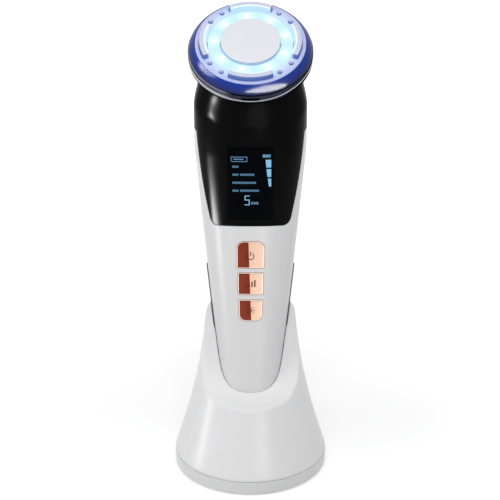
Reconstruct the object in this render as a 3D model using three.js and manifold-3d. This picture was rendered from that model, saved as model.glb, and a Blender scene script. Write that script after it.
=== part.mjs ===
// A hand-held facial care device, without needles, standing in its charging dock.
// Millimetres, +Z up. The origin is the middle of the dock's underside and the front faces -Y.
import * as THREE from "three";
import { mergeVertices, toCreasedNormals } from "three/addons/utils/BufferGeometryUtils.js";
import Module from "manifold-3d";

const wasm = await Module();
wasm.setup();

const DEGREE = Math.PI / 180;

// Fits
const SEAM_GAP = 0.3; // between two fixed pieces that meet
const BUTTON_GAP = 0.3; // round a button in its opening
const WELL_CLEARANCE = 0.5; // round the handle in the dock
const END_CLEARANCE = 0.8; // under the handle's lower end
const SWITCH_CLEARANCE = 0.1; // left between stem and switch with the button pressed home

// Handle pose
const HANDLE_LEAN = 14 * DEGREE; // back from the vertical
const TIP_Y = -11.4; // middle of the handle's lower end
const TIP_Z = 16;

// Handle body, with heights measured up its own axis from the lower end
const TIP_HALF_WIDTH = 11;
const WAIST_HEIGHT = 35;
const WAIST_HALF_WIDTH = 14.9;
const CHEST_HEIGHT = 150; // from here the sections fan forward to the head
const GRIP_BELOW_CHEST = 58;
const GRIP_HEIGHT = CHEST_HEIGHT - GRIP_BELOW_CHEST;
const GRIP_HALF_WIDTH = 21.6;
const CHEST_HALF_WIDTH = 27.9;
const TIP_DEPTH = 10;
const GRIP_FRONT_DEPTH = 18.2;
const GRIP_BACK_DEPTH = 15;
const CHEST_FRONT_DEPTH = 22.3;
const CHEST_BACK_DEPTH = 20.5;
const TIP_ROUND = 4;
const BODY_SQUARENESS = 2.4; // exponent of the section's superellipse, where 2 is an ellipse
const WALL = 2;
const TIP_FLOOR = 3; // thickness of the closed lower end
const BODY_STEP = 22; // height of one step of the body's skin

// Head pose
const HEAD_TILT = 45.9 * DEGREE; // forward from the handle's axis
const FACE_OFFSET = 10.15; // the face's centre lies this far in front of the handle's axis
const FACE_ABOVE_CHEST = 53.6;
const FACE_HEIGHT = CHEST_HEIGHT + FACE_ABOVE_CHEST;
const NECK_FRONT_BOW = 1.5;
const NECK_BACK_RISE = 2.8; // slope of the back as it leaves the chest
const NECK_BACK_BULGE = 14;
const NECK_SWELL = 1.4; // how full the sides are between chest and head
const NECK_TUCK = 2.6; // how far the neck draws in under the head
const NECK_TUCK_START = 0.6; // share of the way up from chest to head
const NECK_TUCK_END = 0.92;
const NECK_SHARES = [0, 0.25, 0.5, 0.64, 0.74, 0.82, 0.92, 1]; // sections from chest to head

// Black neck and front panel
const NOTCH_ABOVE_CHEST = 13.2;
const NOTCH_HEIGHT = CHEST_HEIGHT + NOTCH_ABOVE_CHEST; // white shells end, the black neck starts
const PANEL_BELOW_CHEST = 35.6;
const PANEL_BOTTOM = CHEST_HEIGHT - PANEL_BELOW_CHEST;
const PANEL_CORNER = 4.6;
const PANEL_CORNER_LEAN = 0.9; // the corner's curve turns this far inside the edge
const PANEL_BOTTOM_HALF = 20.1;
const PANEL_MIDDLE_HALF = 23.85;
const PANEL_TOP_HALF = 26.3;
const PANEL_FLARE = 4; // height of the stretch that sweeps out to the sides
const PANEL_FLARE_LEAN = 0.4;

// Display
const DISPLAY_SPACE = 3.5; // from the panel's lower edge
const DISPLAY_BOTTOM = PANEL_BOTTOM + DISPLAY_SPACE;
const DISPLAY_WIDTH = 22.8;
const DISPLAY_LENGTH = 35.2;
const DISPLAY_CORNER = 0.8;
const LENS_THICKNESS = 1.6;
const SCREEN_THICKNESS = 2.8;
const SCREEN_BOARD_THICKNESS = 1;
const SCREEN_BOARD_EDGE = 1.6; // the carrier stands out this far round the screen

// Buttons, each under the one before
const MODE_LENGTH = 13.7;
const MODE_WIDTH = 14;
const MODE_SPACE = 7.8; // under the panel
const MODE_BOTTOM = PANEL_BOTTOM - MODE_SPACE - MODE_LENGTH;
const LEVEL_LENGTH = 11.3;
const LEVEL_WIDTH = 12.9;
const LEVEL_SPACE = 2.1;
const LEVEL_BOTTOM = MODE_BOTTOM - LEVEL_SPACE - LEVEL_LENGTH;
const LED_LENGTH = 11;
const LED_WIDTH = 12;
const LED_SPACE = 2.5;
const LED_BOTTOM = LEVEL_BOTTOM - LED_SPACE - LED_LENGTH;
const BUTTON_SOFT_CORNER = 3.6;
const BUTTON_TIGHT_CORNER = 0.8;
const BUTTON_PROUD = 0.4;
const BUTTON_LIP = 0.8; // retaining edge behind the shell
const BUTTON_LIP_THICKNESS = 1;
const BUTTON_STEM_RADIUS = 1.6;
const BUTTON_TRAVEL = 0.5;

// Main board, switches and battery
const BOARD_FRONT = 8.5; // the board's front face lies this far in front of the handle's axis
const BOARD_THICKNESS = 1.2;
const BOARD_WIDTH = 21;
const BOARD_PAST_BUTTONS = 4; // the board reaches this far below the lowest button
const BOARD_BOTTOM = LED_BOTTOM - BOARD_PAST_BUTTONS;
const BOARD_BELOW_PANEL = 5.4;
const BOARD_TOP = PANEL_BOTTOM - BOARD_BELOW_PANEL;
const SWITCH_SIDE = 4.5;
const SWITCH_HEIGHT = 1.5;
const SWITCH_TIP_RADIUS = 1.2;
const SWITCH_TIP_HEIGHT = 0.5;
const BATTERY_RADIUS = 7.1;
const BATTERY_LENGTH = 49;
const BATTERY_BELOW_BOARD = 22; // from the board's upper end to the battery's
const BATTERY_TOP = BOARD_TOP - BATTERY_BELOW_BOARD;
const BATTERY_SPACE = 1.7; // between board and battery
const BATTERY_CAP_RADIUS = 2.8;
const BATTERY_CAP_HEIGHT = 1;
const RIB_THICKNESS = 1.6;
const RIB_INSET = 7; // from the battery's ends
const POST_RADIUS = 2;

// Side strips
const STRIP_ABOVE_GRIP = 1;
const STRIP_TOP = GRIP_HEIGHT + STRIP_ABOVE_GRIP;
const STRIP_BOTTOM = 12;
const STRIP_WIDTH = 3.2;
const STRIP_PROUD = 0.6;
const STRIP_DEPTH = 0.9; // let into the wall
const STRIP_CLEARANCE = 0.5; // round the strips in the dock

// Charging contacts at the handle's lower end and pins in the dock
const CONTACT_SPACING = 9;
const CONTACT_FORWARD = 2.6;
const CONTACT_RADIUS = 1.8;
const CONTACT_THICKNESS = 1.4;
const CONTACT_STEM_RADIUS = 0.8;
const CONTACT_STEM_LENGTH = 3;
const PIN_RADIUS = 1;
const CONTACT_BOARD_WIDTH = 18;
const CONTACT_BOARD_DEPTH = 12;
const CONTACT_BOARD_THICKNESS = 1.6;

// Head, with depths measured down from the face
const FACE_RADIUS = 27.6;
const FACE_THICKNESS = 2.2;
const LIGHT_RING_RADIUS = 30.85;
const LIGHT_RING_DEPTH = 4.9;
const LIGHT_RING_BULGE = 0.4; // beyond a straight cone
const LEDGE_WIDTH = 1.2; // inner step that carries the face
const METAL_RING_RADIUS = 31;
const METAL_RING_WALL = 3.6;
const METAL_RING_FOOT = 10.3; // depth of its lower edge
const METAL_RING_FLANGE = 1.6;
const METAL_RING_BORE = 20;
const METAL_RING_EDGE = 0.3; // small bevel at its upper and lower edges
const DIMPLE_WIDTH = 9.5; // small and oval, in front
const DIMPLE_LENGTH = 2;
const DIMPLE_DEPTH = 0.8;
const DIMPLE_SPACE = 0.7; // from the metal ring's upper edge
const COOLING_RADIUS = 14.8;
const COOLING_PROUD = 1.5;
const COOLING_THICKNESS = 4.5;
const COOLING_EDGE = 0.6;
const WINDOW_RADIUS = 20.9;
const ARC_INNER_RADIUS = 22.1;
const ARC_OUTER_RADIUS = 25.2;
const ARC_HALF_ANGLE = 26 * DEGREE;
const ARC_PROUD = 2.8;
const ELECTRODE_DEPTH = 3;
const PROBE_RADIUS = 1;
const PROBE_CIRCLE_RADIUS = 24;
const PROBE_PROUD = 0.9;
const PROBE_ANGLES = [35 * DEGREE, 54 * DEGREE];
const LED_COUNT = 9;
const LED_CIRCLE_RADIUS = 17.8;
const LED_FIRST_ANGLE = 96.6 * DEGREE;
const LED_SIDE = 2.8;
const LED_HEIGHT = 1.2;
const LED_ROOT = 0.4; // let into the board
const LED_BOARD_THICKNESS = 1.2;
const PELTIER_SIDE = 20;
const PELTIER_THICKNESS = 3.4;
const SINK_RADIUS = 17.5;
const SINK_PLATE = 1.8;
const FIN_COUNT = 9;
const FIN_THICKNESS = 1.2;
const FIN_LENGTH = 5.6;

// Fan in the neck
const FAN_SIDE = 30;
const FAN_HEIGHT = 8;
const FAN_CORNER = 2;
const FAN_BORE_RADIUS = 14;
const FAN_HUB_RADIUS = 6;
const FAN_FLOOR = 1.2;
const FAN_SPOKES = 3;
const FAN_SPOKE_WIDTH = 2;
const FAN_CAP = 1.6; // closed top of the hub over its pin
const FAN_PIN_RADIUS = 0.9;
const FAN_PIN_CLEARANCE = 0.3;
const BLADE_COUNT = 7;
const BLADE_RADIUS = 13.2;
const BLADE_CHORD = 6;
const BLADE_THICKNESS = 0.8;
const BLADE_PITCH = 38 * DEGREE;
const BLADE_TWIST = 5 * DEGREE; // less pitch at each section further out
const BLADE_ROOT = 1; // sunk in the hub
const SHELF_THICKNESS = 1.6;
const VENT_COUNT = 5;
const VENT_WIDTH = 18;
const VENT_SLOT = 1.6;
const VENT_PITCH = 3.6;
const VENT_ABOVE_NOTCH = 10.8;
const VENT_BOTTOM = NOTCH_HEIGHT + VENT_ABOVE_NOTCH;

// Dock
const DOCK_RADIUS = 39;
const DOCK_TOP_RADIUS = 22.5;
const DOCK_HEIGHT = 88;
const DOCK_TOP_SHIFT = 3; // the top stands back under the leaning handle
const DOCK_TOP_ROUND = 6;
const DOCK_WALL = 2.4;
const DOCK_FLARE = 1.66;
const DOCK_FLARE_START = 0.015;
const DOCK_EDGE = 0.9; // softens the shell's lower edge at the seam
const BAND_HEIGHT = 7.5; // seam between tray and shell
const BASE_CHAMFER = 1;
const SEAM_CHAMFER = 0.4;
const TRAY_FLOOR = 2.4;
// Dished front, seen from the side as depth and height, from the lip up to the shoulders
const DISH_CURVE = [
  [-48, 39.4],
  [-28.6, 42.8],
  [-17.2, 47.2],
  [-8, 55.6],
  [0, 72],
  [6, 88],
  [9, 100],
];
const PAD_INSET = 5; // inside the dock's foot
const PAD_RADIUS = DOCK_RADIUS - PAD_INSET;
const PAD_THICKNESS = 1.6;
const PAD_STANDING = 0.8; // the tray's underside clears the table by this
const BALLAST_INSET = 10;
const BALLAST_RADIUS = DOCK_RADIUS - BALLAST_INSET;
const BALLAST_THICKNESS = 3;
const SCREW_INSET = 5.2; // inside the dock's wall
const SCREW_CIRCLE_RADIUS = DOCK_RADIUS - DOCK_WALL - SCREW_INSET;
const SCREW_ANGLES = [30, 150, 270];
const SCREW_RADIUS = 1.4;
const SCREW_LENGTH = 9;
const SCREW_HEAD_RADIUS = 2.3;
const SCREW_HEAD_HEIGHT = 1.6;
const BOSS_RADIUS = 3.4;
const BOSS_HEIGHT = 16;

// Power inlet at the back of the dock
const INLET_HEIGHT = 13;
const INLET_WIDTH = 8.9;
const INLET_THICKNESS = 3.2;
const INLET_WALL = 0.35;
const INLET_DEPTH = 7.4;
const INLET_TONGUE_THICKNESS = 0.7;
const INLET_TONGUE_WIDTH = 6.2;
const INLET_BACK = 1;
const INLET_SET_BACK = 0.4; // inside the dock's surface
const INLET_BOARD_WIDTH = 16;
const INLET_BOARD_DEPTH = 12;
const INLET_BOARD_THICKNESS = 1.2;
const INLET_BOARD_SPACE = 1.6; // between board and wall

// How finely round shapes are cut
const BODY_SIDES = 28;
const HOLLOW_SIDES = 20; // inside surfaces, which don't show
const HEAD_SIDES = 36;
const DOCK_SIDES = 36;
const ROUND_SIDES = 24;
const SMALL_SIDES = 10;
const PROBE_SIDES = 6;
const CORNER_STEPS = 3; // facets on one rounded corner
const ARC_STEPS = 5;
const PANEL_STEPS = 5;
const DISH_STEPS = 14;
const DOCK_STEPS = 8;
const DOCK_HOLLOW_STEPS = 5;
const SLOT_ROUND = 0.49; // radius of a slot's ends as a share of its width
const CREASE = 30 * DEGREE; // steeper edges stay sharp
const REACH = 200; // longer than any piece, for cutting blocks

const colours = {
  white: [0.86, 0.86, 0.87, 0.32, 0],
  black: [0.012, 0.012, 0.013, 0.12, 0],
  glass: [0.01, 0.011, 0.014, 0.05, 0],
  roseGold: [0.78, 0.42, 0.3, 0.2, 1],
  chrome: [0.7, 0.71, 0.74, 0.12, 1],
  blue: [0.03, 0.06, 0.42, 0.15, 0],
  lilac: [0.66, 0.69, 0.92, 0.3, 0],
  clear: [0.75, 0.97, 1, 0.25, 0],
  satinMetal: [0.82, 0.82, 0.84, 0.35, 1],
  board: [0.03, 0.2, 0.09, 0.5, 0],
  darkPlastic: [0.04, 0.04, 0.045, 0.6, 0],
  rubber: [0.05, 0.05, 0.05, 0.85, 0],
  steel: [0.5, 0.5, 0.52, 0.35, 1],
  gold: [0.85, 0.62, 0.25, 0.25, 1],
  aluminium: [0.72, 0.73, 0.75, 0.4, 1],
  ceramic: [0.85, 0.85, 0.82, 0.6, 0],
  wrap: [0.08, 0.2, 0.5, 0.4, 0],
};
const materials = {};
for (const [name, [r, g, b, roughness, metalness]] of Object.entries(colours)) {
  const color = new THREE.Color().setRGB(r, g, b);
  materials[name] = new THREE.MeshStandardMaterial({ name, color, roughness, metalness });
}

// Solids

// A closed geometry as a solid that can be joined and cut.
function solid(geometry) {
  const bare = new THREE.BufferGeometry();
  bare.setAttribute("position", geometry.getAttribute("position"));
  if (geometry.index) bare.setIndex(geometry.index);
  const merged = mergeVertices(bare, 1e-4);
  const triVerts = new Uint32Array(merged.index.array);
  const vertProperties = new Float32Array(merged.attributes.position.array);
  const made = new wasm.Manifold(new wasm.Mesh({ numProp: 3, vertProperties, triVerts }));
  if (made.volume() > 0) return made;
  for (let i = 0; i < triVerts.length; i += 3) {
    [triVerts[i + 1], triVerts[i + 2]] = [triVerts[i + 2], triVerts[i + 1]];
  }
  return new wasm.Manifold(new wasm.Mesh({ numProp: 3, vertProperties, triVerts }));
}

// The geometry of a solid, with smooth shading across its shallow edges.
function geometryOf(made) {
  const { numProp, numVert, vertProperties, triVerts } = made.getMesh();
  const positions = new Float32Array(numVert * 3);
  for (let i = 0; i < numVert; i++) {
    positions.set(vertProperties.subarray(i * numProp, i * numProp + 3), i * 3);
  }
  const geometry = new THREE.BufferGeometry();
  geometry.setAttribute("position", new THREE.BufferAttribute(positions, 3));
  geometry.setIndex(new THREE.BufferAttribute(triVerts, 1));
  return toCreasedNormals(geometry, CREASE);
}

function join(...solids) {
  return solids.reduce((whole, piece) => whole.add(piece));
}

// A block between two corners.
function block(x0, x1, y0, y1, z0, z1) {
  const geometry = new THREE.BoxGeometry(x1 - x0, y1 - y0, z1 - z0);
  geometry.translate((x0 + x1) / 2, (y0 + y1) / 2, (z0 + z1) / 2);
  return solid(geometry);
}

// A profile of [radius, height] points turned round the Z axis. It starts and ends on the axis,
// or it is closed by its first point.
function turned(profile, sides = HEAD_SIDES) {
  const points = profile.map(([r, z]) => new THREE.Vector2(r, z));
  if (profile[0][0] > 0 || profile.at(-1)[0] > 0) points.push(points[0].clone());
  return solid(new THREE.LatheGeometry(points, sides).rotateX(Math.PI / 2));
}

// A rod along Z.
function rod(radius, z0, z1, x = 0, y = 0, sides = SMALL_SIDES) {
  const geometry = new THREE.CylinderGeometry(radius, radius, z1 - z0, sides);
  geometry.rotateX(Math.PI / 2).translate(x, y, (z0 + z1) / 2);
  return solid(geometry);
}

// A rod along Y.
function rodAlongY(radius, y0, y1, x, z, sides = SMALL_SIDES) {
  const geometry = new THREE.CylinderGeometry(radius, radius, y1 - y0, sides);
  geometry.translate(x, (y0 + y1) / 2, z);
  return solid(geometry);
}

// An outline in the XZ plane, drawn as x and z, pushed along Y.
function prismAlongY(shape, y0, y1, curveSegments = CORNER_STEPS) {
  const geometry = new THREE.ExtrudeGeometry(shape, {
    depth: y1 - y0,
    bevelEnabled: false,
    curveSegments,
  });
  geometry.rotateX(Math.PI / 2).translate(0, y1, 0);
  return solid(geometry);
}

// An outline in the YZ plane, drawn as y and z, pushed along X.
function prismAlongX(shape, x0, x1, curveSegments = CORNER_STEPS) {
  const geometry = new THREE.ExtrudeGeometry(shape, {
    depth: x1 - x0,
    bevelEnabled: false,
    curveSegments,
  });
  const turn = new THREE.Matrix4().makeBasis(
    new THREE.Vector3(0, 1, 0),
    new THREE.Vector3(0, 0, 1),
    new THREE.Vector3(1, 0, 0),
  );
  geometry.applyMatrix4(turn).translate(x0, 0, 0);
  return solid(geometry);
}

// An outline in the XY plane pushed along Z.
function prismAlongZ(shape, z0, z1, curveSegments = CORNER_STEPS) {
  const geometry = new THREE.ExtrudeGeometry(shape, {
    depth: z1 - z0,
    bevelEnabled: false,
    curveSegments,
  });
  return solid(geometry.translate(0, 0, z0));
}

// A rectangle with its own corner radius at the bottom and at the top.
function roundedRectangle(width, bottom, top, bottomRadius, topRadius) {
  const half = width / 2;
  const shape = new THREE.Shape();
  shape.moveTo(-half + bottomRadius, bottom);
  shape.lineTo(half - bottomRadius, bottom);
  shape.absarc(half - bottomRadius, bottom + bottomRadius, bottomRadius, -Math.PI / 2, 0);
  shape.absarc(half - topRadius, top - topRadius, topRadius, 0, Math.PI / 2);
  shape.absarc(-half + topRadius, top - topRadius, topRadius, Math.PI / 2, Math.PI);
  shape.absarc(-half + bottomRadius, bottom + bottomRadius, bottomRadius, Math.PI, 1.5 * Math.PI);
  return shape;
}

// A skin over rings of equal length, closed flat at both ends.
function loft(rings) {
  const count = rings[0].length;
  const positions = [];
  const index = [];
  for (const ring of rings) for (const p of ring) positions.push(p.x, p.y, p.z);
  for (let level = 0; level + 1 < rings.length; level++) {
    for (let i = 0; i < count; i++) {
      const a = level * count + i;
      const b = level * count + ((i + 1) % count);
      index.push(a, b, b + count, a, b + count, a + count);
    }
  }
  for (const [level, flip] of [[0, true], [rings.length - 1, false]]) {
    const middle = new THREE.Vector3();
    for (const p of rings[level]) middle.addScaledVector(p, 1 / count);
    const hub = positions.length / 3;
    positions.push(middle.x, middle.y, middle.z);
    for (let i = 0; i < count; i++) {
      const a = level * count + i;
      const b = level * count + ((i + 1) % count);
      index.push(hub, flip ? b : a, flip ? a : b);
    }
  }
  const geometry = new THREE.BufferGeometry();
  geometry.setAttribute("position", new THREE.Float32BufferAttribute(positions, 3));
  geometry.setIndex(index);
  return geometry;
}

// A cubic from p0 to p1 with slopes m0 and m1, for t from 0 to 1.
function hermite(p0, m0, p1, m1, t) {
  const t2 = t * t;
  const t3 = t2 * t;
  const start = (2 * t3 - 3 * t2 + 1) * p0 + (t3 - 2 * t2 + t) * m0;
  return start + (3 * t2 - 2 * t3) * p1 + (t3 - t2) * m1;
}

// A smooth function through [position, value] points.
function smoothThrough(points) {
  const slopes = points.map((point, i) => {
    const before = points[Math.max(i - 1, 0)];
    const after = points[Math.min(i + 1, points.length - 1)];
    return (after[1] - before[1]) / (after[0] - before[0]);
  });
  return (at) => {
    let i = 0;
    while (i + 2 < points.length && at > points[i + 1][0]) i++;
    const [x0, y0] = points[i];
    const [x1, y1] = points[i + 1];
    const span = x1 - x0;
    return hermite(y0, slopes[i] * span, y1, slopes[i + 1] * span, (at - x0) / span);
  };
}

// The handle's outer form

const halfWidth = smoothThrough([
  [0, TIP_HALF_WIDTH],
  [WAIST_HEIGHT, WAIST_HALF_WIDTH],
  [GRIP_HEIGHT, GRIP_HALF_WIDTH],
  [CHEST_HEIGHT, CHEST_HALF_WIDTH],
]);
const frontDepth = smoothThrough([
  [0, TIP_DEPTH],
  [GRIP_HEIGHT, GRIP_FRONT_DEPTH],
  [CHEST_HEIGHT, CHEST_FRONT_DEPTH],
]);
const backDepth = smoothThrough([
  [0, TIP_DEPTH],
  [GRIP_HEIGHT, GRIP_BACK_DEPTH],
  [CHEST_HEIGHT, CHEST_BACK_DEPTH],
]);

// One point of a superellipse at the given angle, for half sizes of 1.
function squircle(angle, squareness) {
  const c = Math.cos(angle);
  const s = Math.sin(angle);
  const power = 2 / squareness;
  return [Math.sign(c) * Math.abs(c) ** power, Math.sign(s) * Math.abs(s) ** power];
}

function ringAngles(count) {
  return Array.from({ length: count }, (_, i) => ((i + 0.5) * 2 * Math.PI) / count);
}

// The handle's section at a height, grown outwards all round.
function bodyRing(height, grow, sides = BODY_SIDES) {
  const at = Math.max(height, 0);
  return ringAngles(sides).map((angle) => {
    const [c, s] = squircle(angle, BODY_SQUARENESS);
    const depth = (s < 0 ? frontDepth(at) : backDepth(at)) + grow;
    return new THREE.Vector3(c * (halfWidth(at) + grow), s * depth, height);
  });
}

// The front surface's distance from the handle's axis, at a place across and up the handle.
function frontSurface(x, height, grow) {
  const share = Math.abs(x) / (halfWidth(height) + grow);
  return (frontDepth(height) + grow) * (1 - share ** BODY_SQUARENESS) ** (1 / BODY_SQUARENESS);
}

// The neck's sections turn about the line where the chest's plane meets the plane of the head's foot.
const HEAD_FOOT = METAL_RING_FOOT + SEAM_GAP;
const footY = -FACE_OFFSET + Math.sin(HEAD_TILT) * HEAD_FOOT;
const footZ = FACE_HEIGHT - Math.cos(HEAD_TILT) * HEAD_FOOT;
const footFromHinge = (footZ - CHEST_HEIGHT) / Math.sin(HEAD_TILT);
const hingeY = footY - footFromHinge * Math.cos(HEAD_TILT);

function neckRing(share, grow, sides = BODY_SIDES) {
  const angle = share * HEAD_TILT;
  const reach = Math.cos(HEAD_TILT);
  const frontEnd = (footFromHinge - CHEST_HALF_WIDTH) * reach;
  const backEnd = (footFromHinge + CHEST_HALF_WIDTH) * reach;
  const front = hermite(
    -hingeY - CHEST_FRONT_DEPTH, -NECK_FRONT_BOW, frontEnd, NECK_FRONT_BOW, share);
  const back = hermite(
    -hingeY + CHEST_BACK_DEPTH, NECK_BACK_RISE, backEnd, -NECK_BACK_BULGE, share);
  const tuck = NECK_TUCK * THREE.MathUtils.smoothstep(share, NECK_TUCK_START, NECK_TUCK_END);
  const side = CHEST_HALF_WIDTH + NECK_SWELL * share * (1 - share) - tuck;
  const near = front / Math.cos(angle) + tuck;
  const far = back / Math.cos(angle) - tuck;
  const centre = -hingeY + (near + hingeY + (far + hingeY)) / 2;
  const squareness = THREE.MathUtils.lerp(BODY_SQUARENESS, 2, share);
  const axisAt = THREE.MathUtils.lerp(-hingeY, centre, share);
  return ringAngles(sides).map((turn) => {
    const [c, s] = squircle(turn, squareness);
    const run = axisAt + s * ((s < 0 ? axisAt - near : far - axisAt) + grow);
    return new THREE.Vector3(
      c * (side + grow),
      hingeY + run * Math.cos(angle),
      CHEST_HEIGHT + run * Math.sin(angle),
    );
  });
}

// The heights at which the body's skin has a section, from one height up to the chest.
function bodyHeights(from) {
  const steps = Math.ceil((CHEST_HEIGHT - from) / BODY_STEP);
  return Array.from({ length: steps }, (_, i) => from + ((CHEST_HEIGHT - from) * i) / steps);
}

// The whole form of the handle from its rounded lower end to the head's foot.
function handleForm(grow) {
  const rings = [];
  for (const angle of [0, 30, 60]) {
    const inset = TIP_ROUND * (1 - Math.sin(angle * DEGREE));
    rings.push(bodyRing(TIP_ROUND * (1 - Math.cos(angle * DEGREE)) - grow, grow - inset));
  }
  for (const height of bodyHeights(TIP_ROUND)) rings.push(bodyRing(height, grow));
  for (const share of NECK_SHARES) rings.push(neckRing(share, grow));
  return solid(loft(rings));
}

// The hollow inside the handle. It runs past the head's foot, so that the neck opens into the head.
function handleHollow(wall) {
  const rings = bodyHeights(TIP_FLOOR).map((height) => bodyRing(height, -wall, HOLLOW_SIDES));
  for (const share of NECK_SHARES) rings.push(neckRing(share, -wall, HOLLOW_SIDES));
  const out = new THREE.Vector3(0, -Math.sin(HEAD_TILT), Math.cos(HEAD_TILT));
  rings.push(rings.at(-1).map((p) => p.clone().addScaledVector(out, SEAM_GAP)));
  return solid(loft(rings));
}

// The lower stretch of the handle's form, for the dock's well, in the dock's frame.
const handlePose = new THREE.Matrix4()
  .makeTranslation(0, TIP_Y, TIP_Z)
  .multiply(new THREE.Matrix4().makeRotationX(-HANDLE_LEAN));

function wellForm(grow, from) {
  const rings = [bodyRing(from, grow), ...bodyHeights(TIP_ROUND).map((h) => bodyRing(h, grow))];
  return solid(loft(rings).applyMatrix4(handlePose));
}

// The group and its parts

const device = new THREE.Group();
const dock = new THREE.Group();
const handle = new THREE.Group();
handle.applyMatrix4(handlePose);
const head = new THREE.Group();
head.position.set(0, -FACE_OFFSET, FACE_HEIGHT);
head.rotation.x = HEAD_TILT;
handle.add(head);
device.add(dock, handle);

function place(group, name, made, material) {
  const mesh = new THREE.Mesh(geometryOf(made), materials[material]);
  mesh.name = name;
  group.add(mesh);
}

// White shells, black neck, display and side strips

const outerForm = handleForm(0);
const skin = outerForm.subtract(handleHollow(WALL));
const insideForm = handleForm(-WALL / 2);
const halfSeam = SEAM_GAP / 2;
const frontHalf = block(-REACH, REACH, -REACH, -halfSeam, -REACH, NOTCH_HEIGHT - halfSeam);
const rearHalf = block(-REACH, REACH, halfSeam, REACH, -REACH, NOTCH_HEIGHT - halfSeam);
const aboveNotch = block(-REACH, REACH, -REACH, REACH, NOTCH_HEIGHT + halfSeam, 2 * REACH);

// The black panel's outline on the front: narrow at the bottom, sweeping out to the sides at the notch.
function panelShape(grow) {
  const bottom = PANEL_BOTTOM - grow;
  const foot = PANEL_BOTTOM_HALF + grow;
  const shoulder = PANEL_TOP_HALF + grow;
  const sweep = NOTCH_HEIGHT - PANEL_FLARE - grow;
  const top = NOTCH_HEIGHT + halfSeam - grow;
  const middle = (PANEL_BOTTOM + PANEL_CORNER + sweep) / 2;
  const bow = PANEL_MIDDLE_HALF + grow - (foot + shoulder) / 2;
  const right = new THREE.Path();
  right.moveTo(0, bottom);
  right.lineTo(foot - PANEL_CORNER, bottom);
  right.quadraticCurveTo(
    foot - PANEL_CORNER_LEAN, bottom, foot, PANEL_BOTTOM + PANEL_CORNER);
  right.quadraticCurveTo((foot + shoulder) / 2 + 2 * bow, middle, shoulder, sweep);
  right.quadraticCurveTo(
    shoulder + PANEL_FLARE_LEAN, top, CHEST_HALF_WIDTH + PANEL_FLARE, top);
  right.lineTo(CHEST_HALF_WIDTH + PANEL_FLARE, NOTCH_HEIGHT + PANEL_FLARE);
  const half = right.getPoints(PANEL_STEPS);
  const mirrored = half.slice(1).reverse().map((p) => new THREE.Vector2(-p.x, p.y));
  return new THREE.Shape([...half, ...mirrored]);
}

const displayTop = DISPLAY_BOTTOM + DISPLAY_LENGTH;
function displayShape(grow) {
  const radius = DISPLAY_CORNER + grow;
  return roundedRectangle(
    DISPLAY_WIDTH + 2 * grow, DISPLAY_BOTTOM - grow, displayTop + grow, radius, radius);
}

const fanFloor = NOTCH_HEIGHT + halfSeam + SHELF_THICKNESS;
const shelf = insideForm
  .intersect(block(-REACH, REACH, -REACH, REACH, NOTCH_HEIGHT + halfSeam, fanFloor))
  .subtract(rod(FAN_BORE_RADIUS, 0, REACH, 0, 0, ROUND_SIDES));
const vents = Array.from({ length: VENT_COUNT }, (_, i) => {
  const bottom = VENT_BOTTOM + i * VENT_PITCH;
  const slot = roundedRectangle(
    VENT_WIDTH, bottom, bottom + VENT_SLOT, VENT_SLOT * SLOT_ROUND, VENT_SLOT * SLOT_ROUND);
  return prismAlongY(slot, 0, REACH, 2);
});
const neckShell = join(
  skin.intersect(aboveNotch),
  skin.intersect(prismAlongY(panelShape(0), -REACH, -halfSeam)),
  shelf,
).subtract(join(prismAlongY(displayShape(0), -REACH, 0), ...vents));
place(handle, "neck_shell", neckShell, "black");

const lens = outerForm
  .subtract(handleForm(-LENS_THICKNESS))
  .intersect(prismAlongY(displayShape(-SEAM_GAP), -REACH, -BOARD_FRONT));
place(handle, "display_lens", lens, "glass");

// The screen lies flat behind the lens, along the slope of the front.
const screenGap = LENS_THICKNESS + SEAM_GAP;
const screenHalf = DISPLAY_WIDTH / 2 - SEAM_GAP;
const screenFoot = frontSurface(screenHalf, DISPLAY_BOTTOM, -screenGap);
const screenHead = frontSurface(screenHalf, CHEST_HEIGHT, -screenGap);
const screenSlope = Math.atan2(screenHead - screenFoot, CHEST_HEIGHT - DISPLAY_BOTTOM);
const screenBack = SCREEN_THICKNESS + SCREEN_BOARD_THICKNESS;
const screen = new THREE.Group();
screen.position.set(0, -screenFoot, DISPLAY_BOTTOM);
screen.rotation.x = screenSlope;
handle.add(screen);
const screenLength = DISPLAY_LENGTH - 2 * SEAM_GAP;
const screenGlass = block(
  -screenHalf, screenHalf, 0, SCREEN_THICKNESS, SEAM_GAP, screenLength);
const screenCarrier = block(
  -screenHalf - SCREEN_BOARD_EDGE,
  screenHalf + SCREEN_BOARD_EDGE,
  SCREEN_THICKNESS,
  screenBack,
  SEAM_GAP - SCREEN_BOARD_EDGE,
  screenLength + SCREEN_BOARD_EDGE,
);
place(screen, "display_module", join(screenGlass, screenCarrier), "darkPlastic");

// A side strip's outline in the YZ plane, round at its ends.
function stripShape(grow) {
  const half = STRIP_WIDTH / 2 + grow;
  const shape = new THREE.Shape();
  shape.moveTo(-half, STRIP_BOTTOM - grow);
  shape.lineTo(half, STRIP_BOTTOM - grow);
  shape.lineTo(half, STRIP_TOP + grow - half);
  shape.absarc(0, STRIP_TOP + grow - half, half, 0, Math.PI);
  return shape;
}

const stripBand = handleForm(STRIP_PROUD).subtract(handleForm(-STRIP_DEPTH));
const grooveBand = handleForm(STRIP_PROUD).subtract(handleForm(-STRIP_DEPTH - SEAM_GAP));
const grooves = grooveBand.intersect(prismAlongX(stripShape(SEAM_GAP), -REACH, REACH));
for (const [side, x0, x1] of [["left", -REACH, 0], ["right", 0, REACH]]) {
  const strip = stripBand.intersect(prismAlongX(stripShape(0), x0, x1));
  place(handle, `side_strip_${side}`, strip, "chrome");
}

// Buttons, each with a lip behind the shell and a stem that meets its switch

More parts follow.
